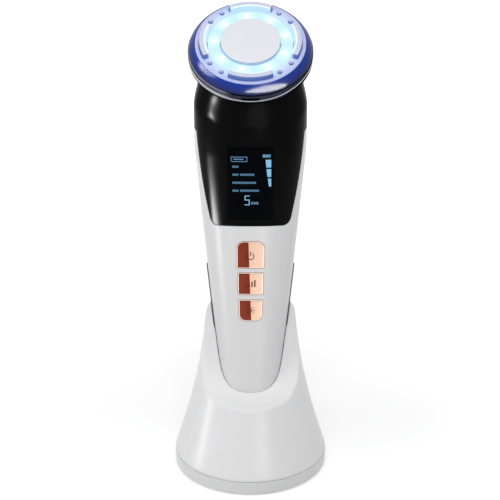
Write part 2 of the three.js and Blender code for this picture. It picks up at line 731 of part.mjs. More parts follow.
const buttons = [
  {
    name: "mode",
    bottom: MODE_BOTTOM,
    length: MODE_LENGTH,
    width: MODE_WIDTH,
    bottomCorner: BUTTON_TIGHT_CORNER,
    topCorner: BUTTON_SOFT_CORNER,
  },
  {
    name: "level",
    bottom: LEVEL_BOTTOM,
    length: LEVEL_LENGTH,
    width: LEVEL_WIDTH,
    bottomCorner: BUTTON_TIGHT_CORNER,
    topCorner: BUTTON_TIGHT_CORNER,
  },
  {
    name: "led",
    bottom: LED_BOTTOM,
    length: LED_LENGTH,
    width: LED_WIDTH,
    bottomCorner: BUTTON_SOFT_CORNER,
    topCorner: BUTTON_TIGHT_CORNER,
  },
];

function buttonShape(button, grow) {
  return roundedRectangle(
    button.width + 2 * grow,
    button.bottom - grow,
    button.bottom + button.length + grow,
    button.bottomCorner + grow,
    button.topCorner + grow,
  );
}

const buttonForm = handleForm(BUTTON_PROUD);
const switchFront = -BOARD_FRONT - SWITCH_HEIGHT - SWITCH_TIP_HEIGHT;
const stemEnd = switchFront - BUTTON_TRAVEL - SWITCH_CLEARANCE;
let openings = null;
for (const button of buttons) {
  const middle = button.bottom + button.length / 2;
  const lipFront =
    SEAM_GAP - frontSurface(button.width / 2 + BUTTON_LIP, button.bottom - BUTTON_LIP, -WALL);
  const lipBack = lipFront + BUTTON_LIP_THICKNESS;
  const cap = buttonForm.intersect(prismAlongY(buttonShape(button, 0), -REACH, lipBack));
  const lip = prismAlongY(buttonShape(button, BUTTON_LIP), lipFront, lipBack);
  const stem = rodAlongY(BUTTON_STEM_RADIUS, lipFront, stemEnd, 0, middle);
  place(handle, `${button.name}_button`, join(cap, lip, stem), "roseGold");
  const opening = prismAlongY(buttonShape(button, BUTTON_GAP), -REACH, lipBack);
  openings = openings ? openings.add(opening) : opening;

  const halfSwitch = SWITCH_SIDE / 2;
  const switchBody = block(
    -halfSwitch,
    halfSwitch,
    -BOARD_FRONT - SWITCH_HEIGHT,
    -BOARD_FRONT - SEAM_GAP,
    middle - halfSwitch,
    middle + halfSwitch,
  );
  const switchTip = rodAlongY(
    SWITCH_TIP_RADIUS, switchFront, -BOARD_FRONT - SWITCH_HEIGHT / 2, 0, middle);
  place(handle, `${button.name}_switch`, join(switchBody, switchTip), "darkPlastic");
}

// Charging contacts, let into the lower end of the front shell

const contactSides = [["left", -CONTACT_SPACING / 2], ["right", CONTACT_SPACING / 2]];
let contactHoles = null;
for (const [side, x] of contactSides) {
  const disc = rod(CONTACT_RADIUS, 0, CONTACT_THICKNESS, x, -CONTACT_FORWARD);
  const stem = rod(
    CONTACT_STEM_RADIUS, 0, CONTACT_THICKNESS + CONTACT_STEM_LENGTH, x, -CONTACT_FORWARD);
  place(handle, `charge_contact_${side}`, join(disc, stem), "gold");
  const hole = join(
    rod(
      CONTACT_RADIUS + SEAM_GAP, -TIP_FLOOR, CONTACT_THICKNESS + SEAM_GAP, x, -CONTACT_FORWARD),
    rod(CONTACT_STEM_RADIUS + SEAM_GAP, -TIP_FLOOR, 2 * TIP_FLOOR, x, -CONTACT_FORWARD),
  );
  contactHoles = contactHoles ? contactHoles.add(hole) : hole;
}

const frontShell = skin
  .intersect(frontHalf)
  .subtract(prismAlongY(panelShape(SEAM_GAP), -REACH, 0))
  .subtract(openings)
  .subtract(grooves)
  .subtract(contactHoles);
place(handle, "front_shell", frontShell, "white");

// Rear shell with posts behind the board and a cradle for the battery

const boardBack = -BOARD_FRONT + BOARD_THICKNESS;
const batteryY = boardBack + BATTERY_SPACE + BATTERY_RADIUS;
const batteryBottom = BATTERY_TOP - BATTERY_LENGTH;
const postX = BATTERY_RADIUS + SEAM_GAP * 2 + POST_RADIUS;
const postPlaces = [
  [postX, BOARD_BOTTOM + POST_RADIUS * 2],
  [-postX, BOARD_BOTTOM + POST_RADIUS * 2],
  [0, BOARD_TOP - POST_RADIUS * 2],
];
const posts = join(
  ...postPlaces.map(([x, z]) => rodAlongY(POST_RADIUS, boardBack + SEAM_GAP, REACH, x, z)),
).intersect(insideForm);
const cradleRibs = [batteryBottom + RIB_INSET, BATTERY_TOP - RIB_INSET].map((z) =>
  block(-REACH, REACH, batteryY, REACH, z - RIB_THICKNESS / 2, z + RIB_THICKNESS / 2),
);
const cradle = join(...cradleRibs)
  .intersect(insideForm)
  .subtract(rod(BATTERY_RADIUS + SEAM_GAP, 0, REACH, 0, batteryY, ROUND_SIDES));
const rearShell = join(skin.intersect(rearHalf), posts, cradle).subtract(grooves);
place(handle, "rear_shell", rearShell, "white");

const mainBoard = block(
  -BOARD_WIDTH / 2, BOARD_WIDTH / 2, -BOARD_FRONT, boardBack, BOARD_BOTTOM, BOARD_TOP);
place(handle, "main_board", mainBoard, "board");

const battery = join(
  rod(BATTERY_RADIUS, batteryBottom, BATTERY_TOP, 0, batteryY, ROUND_SIDES),
  rod(
    BATTERY_CAP_RADIUS,
    BATTERY_TOP - BATTERY_CAP_HEIGHT,
    BATTERY_TOP + BATTERY_CAP_HEIGHT,
    0,
    batteryY,
  ),
);
place(handle, "battery", battery, "wrap");

// Fan, standing on the neck's shelf with its axle along the handle's axis

const fanBottom = fanFloor + SEAM_GAP;
const fanTop = fanBottom + FAN_HEIGHT;
const halfFan = FAN_SIDE / 2;
const fanBlock = prismAlongZ(
  roundedRectangle(FAN_SIDE, -halfFan, halfFan, FAN_CORNER, FAN_CORNER), fanBottom, fanTop);
const fanAir = rod(FAN_BORE_RADIUS, 0, REACH, 0, 0, ROUND_SIDES);
const spokeLength = (FAN_BORE_RADIUS + halfFan) / 2;
const rotorTop = fanTop - SEAM_GAP;
const pinTop = rotorTop - FAN_CAP - SEAM_GAP;
const spokes = Array.from({ length: FAN_SPOKES }, (_, i) => {
  const geometry = new THREE.BoxGeometry(spokeLength, FAN_SPOKE_WIDTH, FAN_FLOOR);
  geometry.translate(spokeLength / 2, 0, fanBottom + FAN_FLOOR / 2);
  return solid(geometry.rotateZ((i * 2 * Math.PI) / FAN_SPOKES));
});
const fanFrame = join(
  fanBlock.subtract(fanAir),
  ...spokes,
  rod(FAN_HUB_RADIUS, fanBottom, fanBottom + FAN_FLOOR, 0, 0, ROUND_SIDES),
  rod(FAN_PIN_RADIUS, fanBottom, pinTop),
);
place(handle, "fan_frame", fanFrame, "darkPlastic");

const rotorBottom = fanBottom + FAN_FLOOR + SEAM_GAP;
const rotorMiddle = (rotorBottom + rotorTop) / 2;
const blades = Array.from({ length: BLADE_COUNT }, (_, i) => {
  const rings = [
    FAN_HUB_RADIUS - BLADE_ROOT, (FAN_HUB_RADIUS + BLADE_RADIUS) / 2, BLADE_RADIUS].map(
    (radius, step) => {
      const pitch = BLADE_PITCH - step * BLADE_TWIST;
      const halfChord = BLADE_CHORD / 2;
      const halfThick = BLADE_THICKNESS / 2;
      return [
        [-halfChord, -halfThick],
        [halfChord, -halfThick],
        [halfChord, halfThick],
        [-halfChord, halfThick],
      ].map(([u, v]) => {
        const across = u * Math.cos(pitch) - v * Math.sin(pitch);
        const up = u * Math.sin(pitch) + v * Math.cos(pitch);
        const y = (across * (1 + radius / BLADE_RADIUS)) / 2; // narrower toward the hub
        return new THREE.Vector3(Math.sqrt(radius * radius - y * y), y, rotorMiddle + up);
      });
    },
  );
  return solid(loft(rings).rotateZ((i * 2 * Math.PI) / BLADE_COUNT));
});
const axleHole = rod(FAN_PIN_RADIUS + FAN_PIN_CLEARANCE, 0, pinTop + SEAM_GAP);
const rotor = join(rod(FAN_HUB_RADIUS, rotorBottom, rotorTop, 0, 0, ROUND_SIDES), ...blades);
place(handle, "fan_rotor", rotor.subtract(axleHole), "darkPlastic");

// Head rings and face, turned about the face's own axis

const lightRingCurve = [0, 1 / 3, 2 / 3, 1].map((share) => [
  THREE.MathUtils.lerp(FACE_RADIUS, LIGHT_RING_RADIUS, share)
    + LIGHT_RING_BULGE * Math.sin(share * Math.PI),
  -LIGHT_RING_DEPTH * share,
]);
const ledge = FACE_RADIUS - LEDGE_WIDTH;
const lightRing = turned([
  ...lightRingCurve,
  [ledge, -LIGHT_RING_DEPTH],
  [ledge, -FACE_THICKNESS - SEAM_GAP],
  [FACE_RADIUS, -FACE_THICKNESS - SEAM_GAP],
]);
place(head, "light_ring", lightRing, "blue");

const ringTop = -LIGHT_RING_DEPTH - SEAM_GAP;
const flangeTop = -METAL_RING_FOOT + METAL_RING_FLANGE;
const ringInside = METAL_RING_RADIUS - METAL_RING_WALL;
const dimpleTop = ringTop - DIMPLE_SPACE;
const metalRing = turned([
  [METAL_RING_RADIUS - METAL_RING_EDGE, ringTop],
  [METAL_RING_RADIUS, ringTop - 2 * METAL_RING_EDGE],
  [METAL_RING_RADIUS, -METAL_RING_FOOT + 2 * METAL_RING_EDGE],
  [METAL_RING_RADIUS - METAL_RING_EDGE, -METAL_RING_FOOT],
  [METAL_RING_BORE, -METAL_RING_FOOT],
  [METAL_RING_BORE, flangeTop],
  [ringInside, flangeTop],
  [ringInside, ringTop],
]);
const dimple = prismAlongY(
  roundedRectangle(
    DIMPLE_WIDTH,
    dimpleTop - DIMPLE_LENGTH,
    dimpleTop,
    DIMPLE_LENGTH * SLOT_ROUND,
    DIMPLE_LENGTH * SLOT_ROUND,
  ),
  -REACH,
  -METAL_RING_RADIUS + DIMPLE_DEPTH,
);
place(head, "metal_ring", metalRing.subtract(dimple), "chrome");

const quarterTurn = [0, 45, 90].map((degrees) => degrees * DEGREE);
const coolingPlate = turned([
  [0, COOLING_PROUD - COOLING_THICKNESS],
  [COOLING_RADIUS, COOLING_PROUD - COOLING_THICKNESS],
  ...quarterTurn.map((angle) => [
    COOLING_RADIUS - COOLING_EDGE * (1 - Math.cos(angle)),
    COOLING_PROUD - COOLING_EDGE * (1 - Math.sin(angle)),
  ]),
  [0, COOLING_PROUD],
]);
place(head, "cooling_plate", coolingPlate, "satinMetal");

const windowInside = COOLING_RADIUS + SEAM_GAP;
const ledWindow = turned([
  [windowInside, 0],
  [windowInside, -FACE_THICKNESS],
  [WINDOW_RADIUS, -FACE_THICKNESS],
  [WINDOW_RADIUS, 0],
]);
place(head, "led_window", ledWindow, "clear");

// A stretch of a flat ring about the middle of the face.
function arcShape(inner, outer, middle, halfAngle) {
  const shape = new THREE.Shape();
  shape.absarc(0, 0, outer, middle - halfAngle, middle + halfAngle, false);
  shape.absarc(0, 0, inner, middle + halfAngle, middle - halfAngle, true);
  return shape;
}

const arcs = [["right", 0], ["top", 90], ["left", 180], ["bottom", 270]];
const slots = [];
for (const [side, degrees] of arcs) {
  const middle = degrees * DEGREE;
  const shape = arcShape(ARC_INNER_RADIUS, ARC_OUTER_RADIUS, middle, ARC_HALF_ANGLE);
  const arc = prismAlongZ(shape, -ELECTRODE_DEPTH, ARC_PROUD, ARC_STEPS);
  place(head, `arc_electrode_${side}`, arc, "lilac");
  const wider = ARC_HALF_ANGLE + SEAM_GAP / ARC_INNER_RADIUS;
  const slot = arcShape(
    ARC_INNER_RADIUS - SEAM_GAP, ARC_OUTER_RADIUS + SEAM_GAP, middle, wider);
  slots.push(prismAlongZ(slot, -REACH, REACH, ARC_STEPS));
}

const probeProfile = [
  [0, -ELECTRODE_DEPTH],
  [PROBE_RADIUS, -ELECTRODE_DEPTH],
  ...quarterTurn.map((angle) => [
    PROBE_RADIUS * Math.cos(angle),
    PROBE_PROUD - (PROBE_RADIUS / 2) * (1 - Math.sin(angle)),
  ]),
];
let probeNumber = 0;
for (const [side, up] of [[1, 1], [-1, 1], [-1, -1], [1, -1]]) {
  for (const angle of PROBE_ANGLES) {
    const x = side * PROBE_CIRCLE_RADIUS * Math.cos(angle);
    const y = up * PROBE_CIRCLE_RADIUS * Math.sin(angle);
    const probe = turned(probeProfile, PROBE_SIDES).translate([x, y, 0]);
    probeNumber += 1;
    place(head, `probe_${probeNumber}`, probe, "lilac");
    slots.push(rod(PROBE_RADIUS + SEAM_GAP, -REACH, REACH, x, y, PROBE_SIDES));
  }
}

const faceRing = turned([
  [WINDOW_RADIUS + SEAM_GAP, 0],
  [WINDOW_RADIUS + SEAM_GAP, -FACE_THICKNESS],
  [FACE_RADIUS - SEAM_GAP, -FACE_THICKNESS],
  [FACE_RADIUS - SEAM_GAP, 0],
]);
place(head, "face_plate", faceRing.subtract(join(...slots)), "lilac");

// Lights, cooler and heat sink inside the head

const lightBoardBottom = flangeTop + SEAM_GAP;
const lightBoardTop = lightBoardBottom + LED_BOARD_THICKNESS;
const lights = Array.from({ length: LED_COUNT }, (_, i) => {
  const angle = LED_FIRST_ANGLE + (i * 2 * Math.PI) / LED_COUNT;
  const geometry = new THREE.BoxGeometry(LED_SIDE, LED_SIDE, LED_HEIGHT + LED_ROOT);
  geometry.translate(LED_CIRCLE_RADIUS, 0, lightBoardTop + (LED_HEIGHT - LED_ROOT) / 2);
  return solid(geometry.rotateZ(angle));
});
const lightBoard = turned([
  [windowInside, lightBoardTop],
  [windowInside, lightBoardBottom],
  [ringInside - SEAM_GAP, lightBoardBottom],
  [ringInside - SEAM_GAP, lightBoardTop],
]);
place(head, "led_board", join(lightBoard, ...lights), "board");

const coolerTop = COOLING_PROUD - COOLING_THICKNESS - SEAM_GAP;
const coolerBottom = coolerTop - PELTIER_THICKNESS;
const halfCooler = PELTIER_SIDE / 2;
const cooler = block(-halfCooler, halfCooler, -halfCooler, halfCooler, coolerBottom, coolerTop);
place(head, "peltier_cooler", cooler, "ceramic");

const sinkTop = coolerBottom - SEAM_GAP;
const sinkShoulder = lightBoardBottom - SEAM_GAP;
const sinkPlateBottom = sinkShoulder - SINK_PLATE;
const finSpacing = (2 * SINK_RADIUS) / FIN_COUNT;
const fins = Array.from({ length: FIN_COUNT }, (_, i) => {
  const x = (i - (FIN_COUNT - 1) / 2) * finSpacing;
  return block(
    x - FIN_THICKNESS / 2, x + FIN_THICKNESS / 2,
    -REACH, REACH,
    sinkPlateBottom - FIN_LENGTH, sinkPlateBottom + SINK_PLATE / 2,
  );
});
const sinkRound = rod(SINK_RADIUS, -REACH, sinkShoulder, 0, 0, ROUND_SIDES);
const sink = join(
  rod(SINK_RADIUS, sinkPlateBottom, sinkShoulder, 0, 0, ROUND_SIDES),
  rod(COOLING_RADIUS, sinkPlateBottom, sinkTop, 0, 0, ROUND_SIDES),
  join(...fins).intersect(sinkRound),
);
place(head, "heat_sink", sink, "aluminium");

// Dock

// The dock's outer radius at a height.
function dockRadius(z) {
  const share = THREE.MathUtils.clamp((z - BAND_HEIGHT) / (DOCK_HEIGHT - BAND_HEIGHT), 0, 1);
  const soft = (share * share) / (share + DOCK_FLARE_START);
  return DOCK_TOP_RADIUS + (DOCK_RADIUS - DOCK_TOP_RADIUS) * (1 - soft) ** DOCK_FLARE;
}

function dockRing(z, grow, sides) {
  const share = THREE.MathUtils.clamp((z - BAND_HEIGHT) / (DOCK_HEIGHT - BAND_HEIGHT), 0, 1);
  return ringAngles(sides).map((angle) => {
    const radius = dockRadius(z) + grow;
    return new THREE.Vector3(
      radius * Math.cos(angle), radius * Math.sin(angle) + DOCK_TOP_SHIFT * share ** 2, z);
  });
}

const shellBottom = BAND_HEIGHT + halfSeam;
function dockForm(grow, bottom, top, edge = 0, steps = DOCK_STEPS, sides = DOCK_SIDES) {
  const rings = edge ? [dockRing(bottom - edge, grow - edge, sides)] : [];
  const roundStart = top - DOCK_TOP_ROUND;
  for (let i = 0; i <= steps; i++) {
    rings.push(dockRing(bottom + ((roundStart - bottom) * i) / steps, grow, sides));
  }
  for (const angle of [30, 60, 90]) {
    const z = roundStart + DOCK_TOP_ROUND * Math.sin(angle * DEGREE);
    rings.push(dockRing(z, grow - DOCK_TOP_ROUND * (1 - Math.cos(angle * DEGREE)), sides));
  }
  return solid(loft(rings));
}

// What the dished front takes away, lowered by a wall for the hollow inside.
function dishCut(lower) {
  const curve = new THREE.SplineCurve(DISH_CURVE.map(([y, z]) => new THREE.Vector2(y, z)));
  const line = curve.getPoints(DISH_STEPS).map((p, i, all) => {
    const next = all[Math.min(i + 1, all.length - 1)];
    const last = all[Math.max(i - 1, 0)];
    const along = next.clone().sub(last).normalize();
    return new THREE.Vector2(p.x + along.y * lower, p.y - along.x * lower);
  });
  const shape = new THREE.Shape(line);
  shape.lineTo(line.at(-1).x, REACH);
  shape.lineTo(line[0].x, REACH);
  return prismAlongX(shape, -REACH, REACH);
}

// The well follows the handle, with a wider channel down each side for its strip.
const stripRoom = prismAlongX(stripShape(STRIP_CLEARANCE), -REACH, REACH);
const stripChannels = handleForm(STRIP_PROUD + STRIP_CLEARANCE)
  .intersect(stripRoom)
  .transform(handlePose.elements);
const wellInside = wellForm(WELL_CLEARANCE, -END_CLEARANCE).add(stripChannels);
const wellOutside = wellForm(
  STRIP_PROUD + STRIP_CLEARANCE + DOCK_WALL, -END_CLEARANCE - DOCK_WALL);
const dockHollow = dockForm(
  -DOCK_WALL,
  shellBottom - DOCK_WALL,
  DOCK_HEIGHT - DOCK_WALL,
  0,
  DOCK_HOLLOW_STEPS,
  HOLLOW_SIDES,
)
  .subtract(dishCut(DOCK_WALL))
  .subtract(wellOutside);

const padTop = PAD_THICKNESS;
const recessTop = padTop + SEAM_GAP;
const trayFloorTop = recessTop + TRAY_FLOOR;
const screwTop = recessTop + SEAM_GAP + SCREW_HEAD_HEIGHT + SCREW_LENGTH;
const bossBottom = trayFloorTop + SEAM_GAP;
const screwPlaces = SCREW_ANGLES.map((degrees) => [
  SCREW_CIRCLE_RADIUS * Math.cos(degrees * DEGREE),
  SCREW_CIRCLE_RADIUS * Math.sin(degrees * DEGREE),
]);
const bosses = screwPlaces.map(([x, y]) =>
  rod(BOSS_RADIUS, bossBottom, bossBottom + BOSS_HEIGHT, x, y).subtract(
    rod(SCREW_RADIUS + SEAM_GAP, 0, screwTop + SEAM_GAP, x, y)),
);
const insideDock = dockForm(-DOCK_WALL / 2, 0, DOCK_HEIGHT);
const inletBack = dockRadius(INLET_HEIGHT) - INLET_SET_BACK;
const inletOpening = prismAlongY(
  roundedRectangle(
    INLET_WIDTH + 2 * SEAM_GAP,
    INLET_HEIGHT - INLET_THICKNESS / 2 - SEAM_GAP,
    INLET_HEIGHT + INLET_THICKNESS / 2 + SEAM_GAP,
    INLET_THICKNESS / 2,
    INLET_THICKNESS / 2,
  ),
  inletBack - INLET_DEPTH,
  REACH,
);
const pinHoles = contactSides.map(([, x]) => {
  const geometry = new THREE.CylinderGeometry(
    PIN_RADIUS + SEAM_GAP, PIN_RADIUS + SEAM_GAP, 4 * DOCK_WALL, SMALL_SIDES);
  geometry.rotateX(Math.PI / 2).translate(x, -CONTACT_FORWARD, -END_CLEARANCE - DOCK_WALL);
  return solid(geometry.applyMatrix4(handlePose));
});
const dockShell = join(
  dockForm(0, shellBottom + DOCK_EDGE, DOCK_HEIGHT, DOCK_EDGE)
    .subtract(dishCut(0))
    .subtract(dockHollow),
  ...bosses.map((boss) => boss.intersect(insideDock)),
).subtract(join(wellInside, inletOpening, ...pinHoles));
place(dock, "dock_shell", dockShell, "white");

const trayInside = DOCK_RADIUS - DOCK_WALL;
const tray = turned([
  [0, recessTop],
  [PAD_RADIUS + SEAM_GAP, recessTop],
  [PAD_RADIUS + SEAM_GAP, PAD_STANDING],
  [DOCK_RADIUS - BASE_CHAMFER, PAD_STANDING],
  [DOCK_RADIUS, PAD_STANDING + BASE_CHAMFER],
  [DOCK_RADIUS, BAND_HEIGHT - halfSeam - SEAM_CHAMFER],
  [DOCK_RADIUS - SEAM_CHAMFER, BAND_HEIGHT - halfSeam],
  [trayInside, BAND_HEIGHT - halfSeam],
  [trayInside, trayFloorTop],
  [0, trayFloorTop],
], DOCK_SIDES);
const counterbores = screwPlaces.flatMap(([x, y]) => [
  rod(SCREW_RADIUS + SEAM_GAP, 0, REACH, x, y),
  rod(SCREW_HEAD_RADIUS + SEAM_GAP, 0, recessTop + 2 * SEAM_GAP + SCREW_HEAD_HEIGHT, x, y),
]);
const inletBoardTop = INLET_HEIGHT - INLET_THICKNESS / 2 - SEAM_GAP;
const inletBoardBottom = inletBoardTop - INLET_BOARD_THICKNESS;
const trayPostPlaces = [-1, 1].map((side) => [
  side * (INLET_BOARD_WIDTH / 2 - POST_RADIUS),
  inletBack - INLET_BOARD_DEPTH,
]);
const trayPosts = trayPostPlaces.map(([x, y]) =>
  rod(POST_RADIUS, trayFloorTop - SEAM_GAP, inletBoardBottom - SEAM_GAP, x, y),
);
place(dock, "dock_base", join(tray, ...trayPosts).subtract(join(...counterbores)), "white");

place(dock, "base_pad", rod(PAD_RADIUS, 0, padTop, 0, 0, DOCK_SIDES), "rubber");

const ballastBottom = trayFloorTop + SEAM_GAP;
const ballast = rod(
  BALLAST_RADIUS, ballastBottom, ballastBottom + BALLAST_THICKNESS, 0, 0, HEAD_SIDES);
const bossRoom = screwPlaces.map(([x, y]) => rod(BOSS_RADIUS + 2 * SEAM_GAP, 0, REACH, x, y));
const postRoom = trayPostPlaces.map(([x, y]) =>
  rod(POST_RADIUS + 2 * SEAM_GAP, 0, REACH, x, y),
);
place(dock, "ballast_plate", ballast.subtract(join(...bossRoom, ...postRoom)), "steel");

screwPlaces.forEach(([x, y], i) => {
  const headBottom = recessTop + SEAM_GAP;
  const screw = join(
    rod(SCREW_HEAD_RADIUS, headBottom, headBottom + SCREW_HEAD_HEIGHT, x, y),
    rod(SCREW_RADIUS, headBottom, screwTop, x, y),
  );
  place(dock, `dock_screw_${i + 1}`, screw, "steel");
});

// Charging board and spring pins under the well, square to the leaning handle

const chargeSet = new THREE.Group();
chargeSet.applyMatrix4(handlePose);
dock.add(chargeSet);
const chargeBoardTop = -END_CLEARANCE - DOCK_WALL - SEAM_GAP;
const chargeBoard = block(
  -CONTACT_BOARD_WIDTH / 2,
  CONTACT_BOARD_WIDTH / 2,
  -CONTACT_BOARD_DEPTH / 2,
  CONTACT_BOARD_DEPTH / 2,
  chargeBoardTop - CONTACT_BOARD_THICKNESS,
  chargeBoardTop,
);
place(chargeSet, "charge_board", chargeBoard, "board");
for (const [side, x] of contactSides) {
  const pin = rod(PIN_RADIUS, chargeBoardTop + SEAM_GAP, -SEAM_GAP, x, -CONTACT_FORWARD);
  place(chargeSet, `charge_pin_${side}`, pin, "gold");
}

// Power inlet: a flat metal sleeve with a tongue inside, on a small board

function inletShape(grow) {
  const half = INLET_THICKNESS / 2 + grow;
  return roundedRectangle(
    INLET_WIDTH + 2 * grow,
    INLET_HEIGHT - half,
    INLET_HEIGHT + half,
    2 * half * SLOT_ROUND,
    2 * half * SLOT_ROUND,
  );
}
const inletFront = inletBack - INLET_DEPTH;
const inlet = join(
  prismAlongY(inletShape(0), inletFront, inletBack).subtract(
    prismAlongY(inletShape(-INLET_WALL), inletFront + INLET_BACK, REACH)),
  block(
    -INLET_TONGUE_WIDTH / 2,
    INLET_TONGUE_WIDTH / 2,
    inletFront,
    inletBack - INLET_BACK,
    INLET_HEIGHT - INLET_TONGUE_THICKNESS / 2,
    INLET_HEIGHT + INLET_TONGUE_THICKNESS / 2,
  ),
);
place(dock, "power_inlet", inlet, "steel");
const inletBoard = block(
  -INLET_BOARD_WIDTH / 2,
  INLET_BOARD_WIDTH / 2,
  inletBack - INLET_BOARD_DEPTH - POST_RADIUS,
  inletBack - DOCK_WALL - INLET_BOARD_SPACE,
  inletBoardBottom,
  inletBoardTop,
);
place(dock, "inlet_board", inletBoard, "board");

export default device;
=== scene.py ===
"""Studio picture of a hand-held facial care device standing in its charging dock.

The visible shapes are rebuilt finely from the same driving sizes as the CAD model and stand in
for its nodes. Shapes are worked out in millimetres, each in the frame of the group it belongs to
(dock, handle or head), and become metres when the object is made.
"""

import math

import bmesh
import bpy
import numpy as np
from mathutils import Matrix, Vector
from mathutils.geometry import delaunay_2d_cdt


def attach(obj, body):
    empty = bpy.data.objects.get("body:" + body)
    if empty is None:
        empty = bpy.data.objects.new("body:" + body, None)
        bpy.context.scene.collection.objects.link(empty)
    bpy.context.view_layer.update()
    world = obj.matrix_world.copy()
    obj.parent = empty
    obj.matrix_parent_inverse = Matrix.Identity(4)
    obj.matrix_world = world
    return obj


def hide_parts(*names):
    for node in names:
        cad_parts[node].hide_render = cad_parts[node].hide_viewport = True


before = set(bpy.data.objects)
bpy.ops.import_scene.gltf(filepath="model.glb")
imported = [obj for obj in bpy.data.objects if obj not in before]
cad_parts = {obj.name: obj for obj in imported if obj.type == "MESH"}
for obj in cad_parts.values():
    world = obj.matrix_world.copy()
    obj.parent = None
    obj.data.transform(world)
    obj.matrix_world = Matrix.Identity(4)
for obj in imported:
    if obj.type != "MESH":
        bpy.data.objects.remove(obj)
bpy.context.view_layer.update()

MM = 0.001
WORLD_FILL = (0.30, 0.30, 0.305)
FLOOR_LIFT = 0.42  # what the floor near the object lacks of white
SEAM_GAP = 0.3  # between two fixed pieces that meet
REACH = 200  # longer than any piece, for cutting blocks

# Handle, with heights measured up its own axis from the lower end
HANDLE_LEAN = math.radians(14)
HANDLE_TIP = (0, -11.4, 16)
TIP_ROUND = 4
TIP_FLOOR = 3
WALL = 2
CHEST_HEIGHT = 150
CHEST_HALF_WIDTH = 27.9
CHEST_FRONT_DEPTH = 22.3
CHEST_BACK_DEPTH = 20.5
HALF_WIDTHS = [(0, 11), (35, 14.9), (92, 21.6), (CHEST_HEIGHT, CHEST_HALF_WIDTH)]
FRONT_DEPTHS = [(0, 10), (92, 18.2), (CHEST_HEIGHT, CHEST_FRONT_DEPTH)]
BACK_DEPTHS = [(0, 10), (92, 15), (CHEST_HEIGHT, CHEST_BACK_DEPTH)]
BODY_SQUARENESS = 2.4  # exponent of the section's superellipse, where 2 is an ellipse

# Head
HEAD_TILT = math.radians(45.9)
FACE_OFFSET = 10.15
FACE_HEIGHT = CHEST_HEIGHT + 53.6
HEAD_FOOT = 10.6
NECK_FRONT_BOW = 1.5
NECK_BACK_RISE = 2.8
NECK_BACK_BULGE = 14
NECK_SWELL = 1.4
NECK_TUCK = 2.6  # how far the neck draws in under the head
NECK_TUCK_START = 0.6
NECK_TUCK_END = 0.92

# Black neck, panel and display
NOTCH_HEIGHT = CHEST_HEIGHT + 13.2
PANEL_BOTTOM = CHEST_HEIGHT - 35.6
PANEL_CORNER = 4.6
PANEL_CORNER_LEAN = 0.9
PANEL_BOTTOM_HALF = 20.1
PANEL_MIDDLE_HALF = 23.85
PANEL_TOP_HALF = 26.3
PANEL_FLARE = 4
PANEL_FLARE_LEAN = 0.4
DISPLAY_BOTTOM = PANEL_BOTTOM + 3.5
DISPLAY_WIDTH = 22.8
DISPLAY_LENGTH = 35.2
DISPLAY_CORNER = 0.8
LENS_THICKNESS = 1.6
LENS_EDGE = 0.15
SHELF_THICKNESS = 1.6
FAN_BORE_RADIUS = 14
VENT_COUNT = 5
VENT_WIDTH = 18
VENT_SLOT = 1.6
VENT_PITCH = 3.6
VENT_BOTTOM = NOTCH_HEIGHT + 10.8

# Buttons: bottom, length, width, radius of the lower corners, radius of the upper corners
BUTTONS = {
    "mode": (92.9, 13.7, 14, 0.8, 3.6),
    "level": (79.5, 11.3, 12.9, 0.8, 0.8),
    "led": (66, 11, 12, 3.6, 0.8),
}
BUTTON_PROUD = 0.4
BUTTON_EDGE = 0.7  # rounding round the top of a button
BUTTON_LIP = 0.8
BUTTON_LIP_THICKNESS = 1
BUTTON_STEM_RADIUS = 1.6
BOARD_FRONT = 8.5
SWITCH_TIP = 2  # from the board's front to the end of a switch's tip
STEM_CLEARANCE = 0.6
OPENING_GAP = 0.12  # seen round a button
SIGN_THICKNESS = 0.06
SIGN_PROUD = 0.02
SCREEN_SIGN_PROUD = 0.03

# Side strips
STRIP_BOTTOM = 12
STRIP_TOP = 93
STRIP_WIDTH = 3.2
STRIP_PROUD = 0.6
STRIP_DEPTH = 0.9
STRIP_EDGE = 0.35
STRIP_CLEARANCE = 0.2
STRIP_STEPS = 30
GROOVE_TOP = 1.5  # well outside the shells
SLOT_ROUND = 0.49  # corner radius of a slot, as a share of its width

# Head pieces, with depths measured down from the face
FACE_RADIUS = 27.6
FACE_THICKNESS = 2.2
LIGHT_RING_RADIUS = 30.85
LIGHT_RING_DEPTH = 4.9
LIGHT_RING_BULGE = 0.4
LIGHT_RING_EDGE = 0.6
LIGHT_RING_STEPS = 24
LEDGE_WIDTH = 1.2
METAL_RING_RADIUS = 31
METAL_RING_FOOT = 10.3
METAL_RING_WALL = 3.6
METAL_RING_FLANGE = 1.6
METAL_RING_BORE = 20
METAL_RING_TOP_EDGE = 0.5
METAL_RING_FOOT_EDGE = 0.6
DIMPLE_WIDTH = 9.5
DIMPLE_LENGTH = 2
DIMPLE_DEPTH = 0.8
DIMPLE_SPACE = 0.7
TOUCH = 0.01  # how near counts as on a surface
COOLING_RADIUS = 14.8
COOLING_PROUD = 1.5
COOLING_THICKNESS = 4.5
COOLING_EDGE = 0.6
WINDOW_RADIUS = 20.9
ARC_INNER_RADIUS = 22.1
ARC_OUTER_RADIUS = 25.2
ARC_HALF_ANGLE = math.radians(26)
ARC_PROUD = 2.8
ARC_EDGE = 0.3
ELECTRODE_DEPTH = 3
PROBE_RADIUS = 1
PROBE_CIRCLE_RADIUS = 24
PROBE_PROUD = 0.9
PROBE_FLATNESS = 0.8
PROBE_ANGLES = (math.radians(35), math.radians(54))
LED_COUNT = 9
LED_CIRCLE_RADIUS = 17.8
LED_FIRST_ANGLE = math.radians(96.6)

